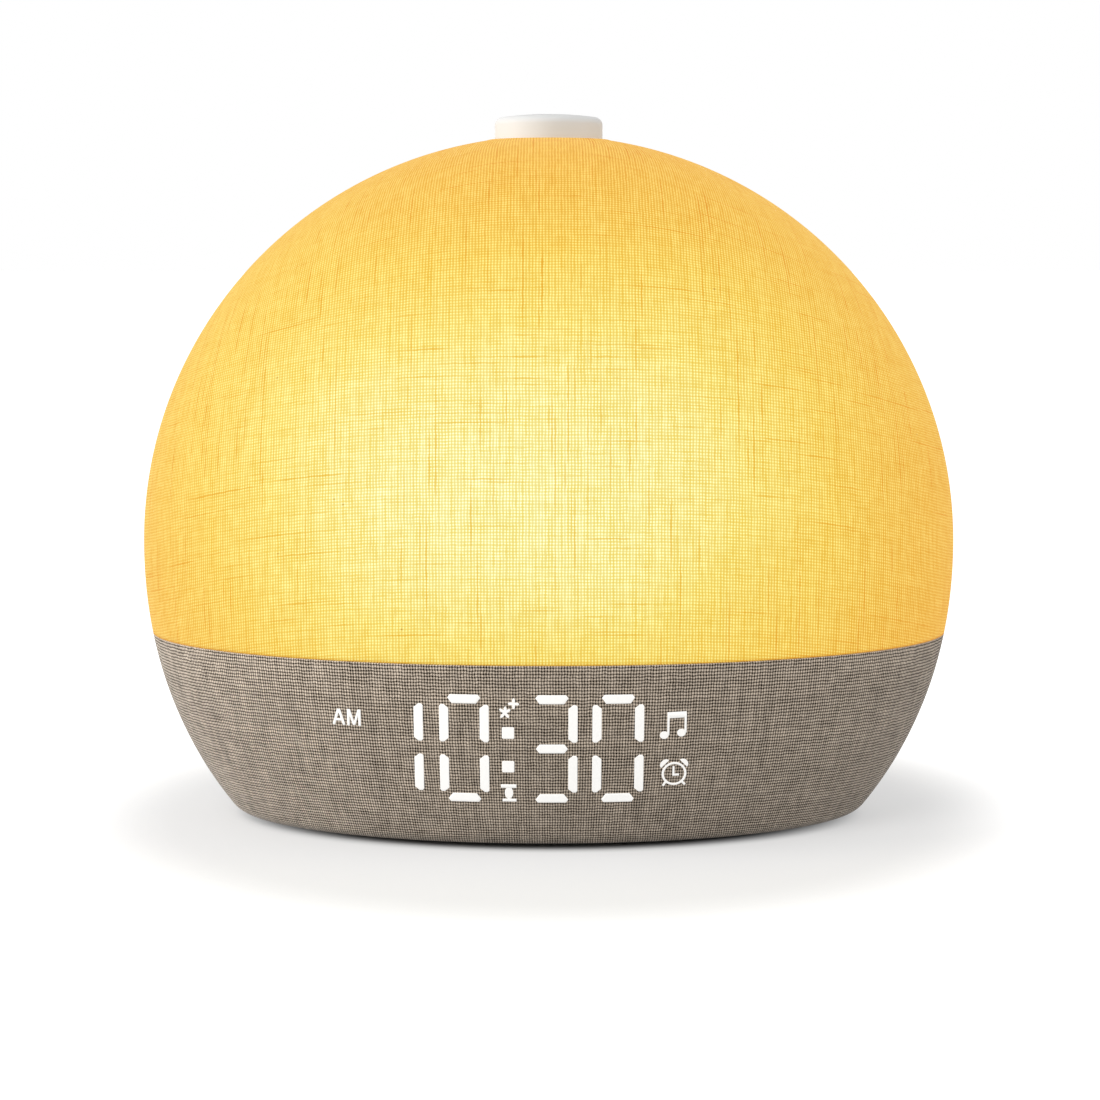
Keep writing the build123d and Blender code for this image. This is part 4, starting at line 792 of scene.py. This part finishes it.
def figureMaterial(look):
    maker = NodeMaker("displayLight")
    x, _, z = maker.split(maker.place())
    cell = maker.noise(maker.vector(x, 0.0, z), 1700.0, 1.0)
    level = maker.plus(0.93, maker.times(maker.minus(cell, 0.5), 0.16))
    return maker.set(colour=(0.5, 0.49, 0.47), glow=maker.scaled(look["colour"], level),
                     glowStrength=0.72, rough=0.9, specular=0.1, normal=maker.bump(cell, 0.1 * mm, 0.3))


finish(makeLitFigures(figureLook), mainBody, "lit_insert", figureMaterial(figureLook))
print("figures made")

# dial: a crowned cap with a skirt that runs in the well
dialLook = {
    "radius": 11.5,  # mm, as are all sizes here
    "crownZ": 150.9,
    "skirtZ": 142.845,
    "crown": 0.9,
    "edgeRound": 1.7,
    "wall": 1.6,
    "bossRadius": 4.9,
    "boreRadius": 3.02,
    "lip": 0.25,  # the skirt's foot, outside
    "lipFace": 0.07,
    "footBreak": 0.2,  # small breaks of the inner edges
    "ceilingRound": 0.6,
    "bossRound": 0.4,
    "poleRadius": 0.02,
    "bossZ": 139.0,
    "colour": (0.715, 0.72, 0.72),
}


def makeDial(look):
    # a profile of (radius, height) turned about Z: crown arc, round edge, wall, skirt, then the inside
    radius, crown, edge = look["radius"], look["crown"], look["edgeRound"]
    ball = (radius ** 2 + crown ** 2) / (2 * crown)
    crownX = np.linspace(look["poleRadius"], radius - edge, 16)
    crownZ = look["crownZ"] - ball + np.sqrt(ball ** 2 - crownX ** 2)
    slope = math.asin(crownX[-1] / ball)
    bend = np.linspace(slope, math.pi / 2, 12)[1:]
    middle = crownZ[-1] - edge * math.cos(slope)
    roundX = crownX[-1] - edge * math.sin(slope) + edge * np.sin(bend)
    roundX += radius - roundX[-1]
    roundZ = middle + edge * np.cos(bend)
    skirt, inside = look["skirtZ"], radius - look["wall"]
    ceiling = look["crownZ"] - crown - look["wall"]
    lip, face, foot = look["lip"], look["lipFace"], look["footBreak"]
    wallZ = np.linspace(roundZ[-1], skirt + lip, 8)[1:]
    boss, bore, bossZ = look["bossRadius"], look["boreRadius"], look["bossZ"]
    bossRound, ceilingRound = look["bossRound"], look["ceilingRound"]
    corners = [
        (radius - face, skirt + face), (radius - lip, skirt), (inside + foot, skirt), (inside, skirt + foot),
        (inside, ceiling - ceilingRound), (inside - ceilingRound, ceiling), (boss + bossRound, ceiling),
        (boss, ceiling - bossRound), (boss, bossZ + foot), (boss - foot, bossZ), (bore + foot, bossZ),
        (bore, bossZ + foot), (bore, ceiling), (look["poleRadius"], ceiling),
    ]
    profileX = np.concatenate([crownX, roundX, np.full(7, radius), [p[0] for p in corners]])
    profileZ = np.concatenate([crownZ, roundZ, wallZ, [p[1] for p in corners]])
    turn = np.linspace(0, 2 * math.pi, 128, endpoint=False)
    x = profileX[:, None] * np.cos(turn) * mm
    y = profileX[:, None] * np.sin(turn) * mm
    z = np.repeat(profileZ[:, None], 128, 1) * mm
    rowOf, columnOf = gridCorners(*x.shape, True, True)
    faces = (rowOf * 128 + columnOf % 128).tolist()
    last = (len(profileX) - 1) * 128
    faces += [list(range(128)), list(range(last + 127, last - 1, -1))]
    mesh = bpy.data.meshes.new("dialCap")
    mesh.from_pydata(np.stack([x, y, z], -1).reshape(-1, 3).tolist(), [], faces)
    piece = bpy.data.objects.new("dialCap", mesh)
    bpy.context.scene.collection.objects.link(piece)
    return sharpened(piece, 40)


def sharpened(piece, degrees):
    # smooth shading, with edges sharper than this kept crisp
    solid = bmesh.new()
    solid.from_mesh(piece.data)
    bmesh.ops.remove_doubles(solid, verts=solid.verts, dist=0.002 * mm)
    limit = math.radians(degrees)
    for edge in solid.edges:
        edge.smooth = len(edge.link_faces) == 2 and edge.calc_face_angle(0.0) < limit
    for face in solid.faces:
        face.smooth = True
    solid.to_mesh(piece.data)
    solid.free()
    return piece


def mouldedPlastic(name, colour, rough=0.5, grain=0.02, grainScale=3500.0, specular=0.4, variation=0.05,
                   subsurface=0.0):
    # fine spark-eroded grain, with faint unevenness of tone and gloss
    maker = NodeMaker(name)
    fine = maker.noise(maker.place(), grainScale, 3.0, 0.6)
    broad = maker.noise(maker.place(), 60.0, 3.0)
    level = maker.plus(1.0 - variation / 2, maker.times(broad, variation))
    return maker.set(
        colour=maker.scaled(colour, level), rough=maker.plus(rough - 0.06, maker.times(fine, 0.12)),
        specular=specular, subsurface=subsurface, normal=maker.bump(fine, grain * mm, 0.5))


finish(makeDial(dialLook), "dial", "dial_plastic",
       mouldedPlastic("creamSatin", dialLook["colour"], rough=0.55, grain=0.008, grainScale=5000.0,
                      specular=0.18),
       "dial")
print("dial made")


# finishes of everything else
def platedSteel(name, colour, rough=0.3, scale=(400.0, 400.0, 4000.0)):
    # faint drawn lines along one way, under a plated skin
    maker = NodeMaker(name)
    x, y, z = maker.split(maker.place())
    drawn = maker.vector(maker.times(x, scale[0]), maker.times(y, scale[1]), maker.times(z, scale[2]))
    lines = maker.noise(drawn, 1.0, 3.0)
    stains = maker.noise(maker.place(), 300.0, 2.0)
    return maker.set(
        colour=maker.scaled(colour, maker.plus(0.88, maker.times(stains, 0.2))), metal=1.0,
        rough=maker.plus(rough - 0.08, maker.times(lines, 0.16)), normal=maker.bump(lines, 0.01 * mm, 0.4))


def circuitBoard(name, colour, trace):
    # solder mask with copper runs faintly raised under it, from a noise cut into bands
    maker = NodeMaker(name)
    x, y, z = maker.split(maker.place())
    run = maker.noise(maker.vector(maker.plus(x, z), maker.plus(y, z), 0.0), 260.0, 0.0)
    band = maker.math("PINGPONG", maker.times(run, 12.0), 0.5)
    copper = maker.smooth(band, 0.22, 0.28)
    return maker.set(colour=maker.mix(copper, colour, trace), rough=0.38, specular=0.5,
                     normal=maker.bump(copper, 0.03 * mm, 0.6))


def rubberSkin(name, colour):
    maker = NodeMaker(name)
    fine = maker.noise(maker.place(), 2600.0, 3.0, 0.7)
    dust = maker.noise(maker.place(), 90.0, 4.0)
    dusty = tuple(c + 0.03 for c in colour)
    return maker.set(colour=maker.mix(maker.times(dust, 0.35), colour, dusty), rough=0.82,
                     specular=0.3, normal=maker.bump(fine, 0.03 * mm, 0.6))


def ledLens(name, colour, light):
    maker = NodeMaker(name)
    fine = maker.noise(maker.place(), 900.0, 1.0)
    return maker.set(colour=maker.scaled(colour, maker.plus(0.9, maker.times(fine, 0.15))), rough=0.15,
                     glow=light, glowStrength=0.6)


def pressedPaper(name, colour):
    # fibres: a fine noise over the surface
    maker = NodeMaker(name)
    fibre = maker.noise(maker.place(), 1400.0, 6.0, 0.75)
    return maker.set(colour=maker.scaled(colour, maker.plus(0.6, maker.times(fibre, 0.8))), rough=0.95,
                     specular=0.1, normal=maker.bump(fibre, 0.08 * mm, 0.8))


finishes = {
    "shade_cloth": shadeCloth.data.materials[0],
    "base_cloth": baseCloth.data.materials[0],
    "milky_plastic": mouldedPlastic("milkyDiffuser", (0.86, 0.85, 0.80), 0.35, 0.01, 2500.0, subsurface=0.2),
    "grey_plastic": mouldedPlastic("housingGrey", (0.115, 0.105, 0.095), 0.62, 0.03, 2600.0),
    "panel_plastic": mouldedPlastic("panelTaupe", (0.165, 0.142, 0.118), 0.58, 0.03, 3000.0),
    "foot_rubber": rubberSkin("footRubber", (0.02, 0.02, 0.021)),
    "screw_steel": platedSteel("screwZinc", (0.62, 0.62, 0.63), 0.32),
    "white_plastic": mouldedPlastic("whiteMoulding", (0.80, 0.80, 0.78), 0.45, 0.012, 3000.0),
    "white_board": circuitBoard("whiteBoard", (0.82, 0.82, 0.80), (0.74, 0.74, 0.72)),
    "green_board": circuitBoard("greenBoard", (0.012, 0.10, 0.04), (0.03, 0.17, 0.07)),
    "warm_led": ledLens("warmLens", (0.9, 0.75, 0.35), (1.0, 0.72, 0.32)),
    "white_led": ledLens("whiteLens", (0.9, 0.92, 0.95), (1.0, 1.0, 1.0)),
    "zinc_can": platedSteel("encoderZinc", (0.66, 0.66, 0.67), 0.38),
    "nut_brass": platedSteel("nickelBrass", (0.72, 0.62, 0.42), 0.28),
    "dial_plastic": bpy.data.materials["creamSatin"],
    "black_plastic": mouldedPlastic("blackMoulding", (0.02, 0.02, 0.02), 0.5, 0.02, 3000.0),
    "lit_insert": ledLens("clearInsert", (0.9, 0.9, 0.88), (0.95, 0.95, 0.92)),
    "socket_steel": platedSteel("socketSteel", (0.64, 0.64, 0.65), 0.26),
    "black_steel": mouldedPlastic("blackPaint", (0.022, 0.022, 0.023), 0.35, 0.01, 1500.0),
    "paper_cone": pressedPaper("conePaper", (0.03, 0.028, 0.026)),
    "magnet_ferrite": mouldedPlastic("ferrite", (0.05, 0.05, 0.053), 0.55, 0.04, 1500.0),
    "button_plastic": mouldedPlastic("buttonSoft", (0.115, 0.10, 0.084), 0.68, 0.02, 4000.0),
    "lead_sheath": rubberSkin("leadSheath", (0.52, 0.52, 0.50)),
}

slotOfNode = {part["node"]: part["material_slot"] for part in frame["record"]["subparts"]}
for name, node in frame["nodes"].items():
    for index in range(max(1, len(node.material_slots))):
        if not node.material_slots:
            node.data.materials.append(finishes[slotOfNode[name]])
        node.material_slots[index].material = finishes[slotOfNode[name]]

# visible mouldings, with their facets merged and shaded smooth
smoothMouldings = {
    "rear_panel": ("rearPanel", mainBody),
    "bottom_plate": ("bottomPlate", mainBody),
    "foot_ring": ("footRing", mainBody),
    "bottom_screws": ("bottomScrews", mainBody),
    "power_inlet": ("powerInlet", mainBody),
    "light_button": ("lightButton", "light_button"),
    "sound_button": ("soundButton", "sound_button"),
    "time_button": ("timeButton", "time_button"),
    "alarm_slider": ("alarmSlider", "alarm_slider"),
}
for name, (pieceName, body) in smoothMouldings.items():
    piece = bpy.data.objects.new(pieceName, frame["nodes"][name].data.copy())
    bpy.context.scene.collection.objects.link(piece)
    sharpened(piece, 32)
    finish(piece, body, slotOfNode[name], finishes[slotOfNode[name]], name)
print("finishes set")

# floor, world and lamps
stageLook = {
    "floor": (0.42, 0.42, 0.42),
    "paintedShadowLift": 0.48,  # added for the camera alone; less of it near the clock, a painted shadow
    "farLift": 1.0,
    # painted shadow: an oval round the clock, and a painted contact shadow under its footprint
    "footprint": (62 * mm, 40 * mm),
    "paintedShadowReach": (105 * mm, 115 * mm),
    "contactShadowFade": (0.93, 1.12),  # in oval distances, as is the next
    "paintedShadowFade": (0.75, 1.2),
    "worldLight": 0.55,
}


def makeFloor(look):
    x, y = np.meshgrid(np.linspace(-12, 12, 13), np.linspace(-4, 24, 15))
    floor = gridPiece("studioFloor", x, y, np.zeros_like(x))
    maker = NodeMaker("paleFloor")
    paths = maker.add("ShaderNodeLightPath").outputs
    seen = maker.math("MAXIMUM", paths["Is Camera Ray"], maker.math(
        "MAXIMUM", paths["Is Glossy Ray"], paths["Is Transmission Ray"]))
    # oval distances: sqrt((x / half width)^2 + (y / half depth)^2)
    x, y, _ = maker.split(maker.place())

    def ovalDistance(halfSizes):
        shares = [maker.math("POWER", maker.math("ABSOLUTE", maker.math("DIVIDE", value, half)), 2.0)
                  for value, half in zip((x, y), halfSizes)]
        return maker.math("SQRT", maker.plus(*shares))

    # painted shadow: the lift falls from far off to near the clock, and to nothing under the footprint, a
    # painted contact shadow
    lift = maker.smooth(ovalDistance(look["paintedShadowReach"]), *look["paintedShadowFade"],
                        look["paintedShadowLift"], look["farLift"])
    lift = maker.times(lift, maker.smooth(ovalDistance(look["footprint"]), *look["contactShadowFade"]))
    grain = maker.noise(maker.place(), 900.0, 2.0)
    colour = maker.scaled(look["floor"], maker.plus(0.99, maker.times(grain, 0.02)))
    finishFloor = maker.set(colour=colour, rough=0.8, specular=0.1, glow=(0.99, 0.995, 1.0),
                            glowStrength=maker.times(lift, seen))
    floor.data.materials.append(finishFloor)


def makeWorld(look):
    world = bpy.data.worlds.new("studioWorld")
    bpy.context.scene.world = world
    world.use_nodes = True
    tree = world.node_tree
    paths = tree.nodes.new("ShaderNodeLightPath").outputs
    background = tree.nodes["Background"]
    background.inputs["Color"].default_value = (1.0, 1.0, 1.0, 1.0)
    strength = tree.nodes.new("ShaderNodeMapRange")
    seen = [tree.nodes.new("ShaderNodeMath") for _ in range(2)]
    for node in seen:
        node.operation = "MAXIMUM"
    tree.links.new(paths["Is Camera Ray"], seen[0].inputs[0])
    tree.links.new(paths["Is Glossy Ray"], seen[0].inputs[1])
    tree.links.new(seen[0].outputs[0], seen[1].inputs[0])
    tree.links.new(paths["Is Transmission Ray"], seen[1].inputs[1])
    tree.links.new(seen[1].outputs[0], strength.inputs["Value"])
    strength.inputs["To Min"].default_value = look["worldLight"]
    strength.inputs["To Max"].default_value = 1.0
    tree.links.new(strength.outputs[0], background.inputs["Strength"])


lampWhite = (1.0, 0.98, 0.95)
aimHeight = 0.06
# azimuth is degrees left of the front; level is what a white surface facing the lamp shows
lamps = {
    "frontKey": {"azimuth": 30, "height": 38, "away": 1.3, "size": 0.7, "level": 0.38, "colour": lampWhite},
    "sideKey": {"azimuth": 80, "height": 14, "away": 1.2, "size": 0.5, "level": 0.54, "colour": lampWhite},
    "rightRim": {"azimuth": -85, "height": 12, "away": 1.2, "size": 0.5, "level": 0.25, "colour": lampWhite},
}


def makeLamps():
    for name, lamp in lamps.items():
        data = bpy.data.lights.new(name, "AREA")
        data.shape = "DISK"
        data.size = lamp["size"]
        data.color = lamp["colour"]
        data.energy = lamp["level"] * (math.pi * lamp["away"]) ** 2
        turn, tilt = math.radians(lamp["azimuth"]), math.radians(lamp["height"])
        light = bpy.data.objects.new(name, data)
        bpy.context.scene.collection.objects.link(light)
        reach = lamp["away"] * math.cos(tilt)
        height = aimHeight + lamp["away"] * math.sin(tilt)
        light.location = (-reach * math.sin(turn), -reach * math.cos(turn), height)
        light.rotation_euler = (math.pi / 2 - tilt, 0.0, -turn)


makeFloor(stageLook)
makeWorld(stageLook)
makeLamps()
print("stage made")
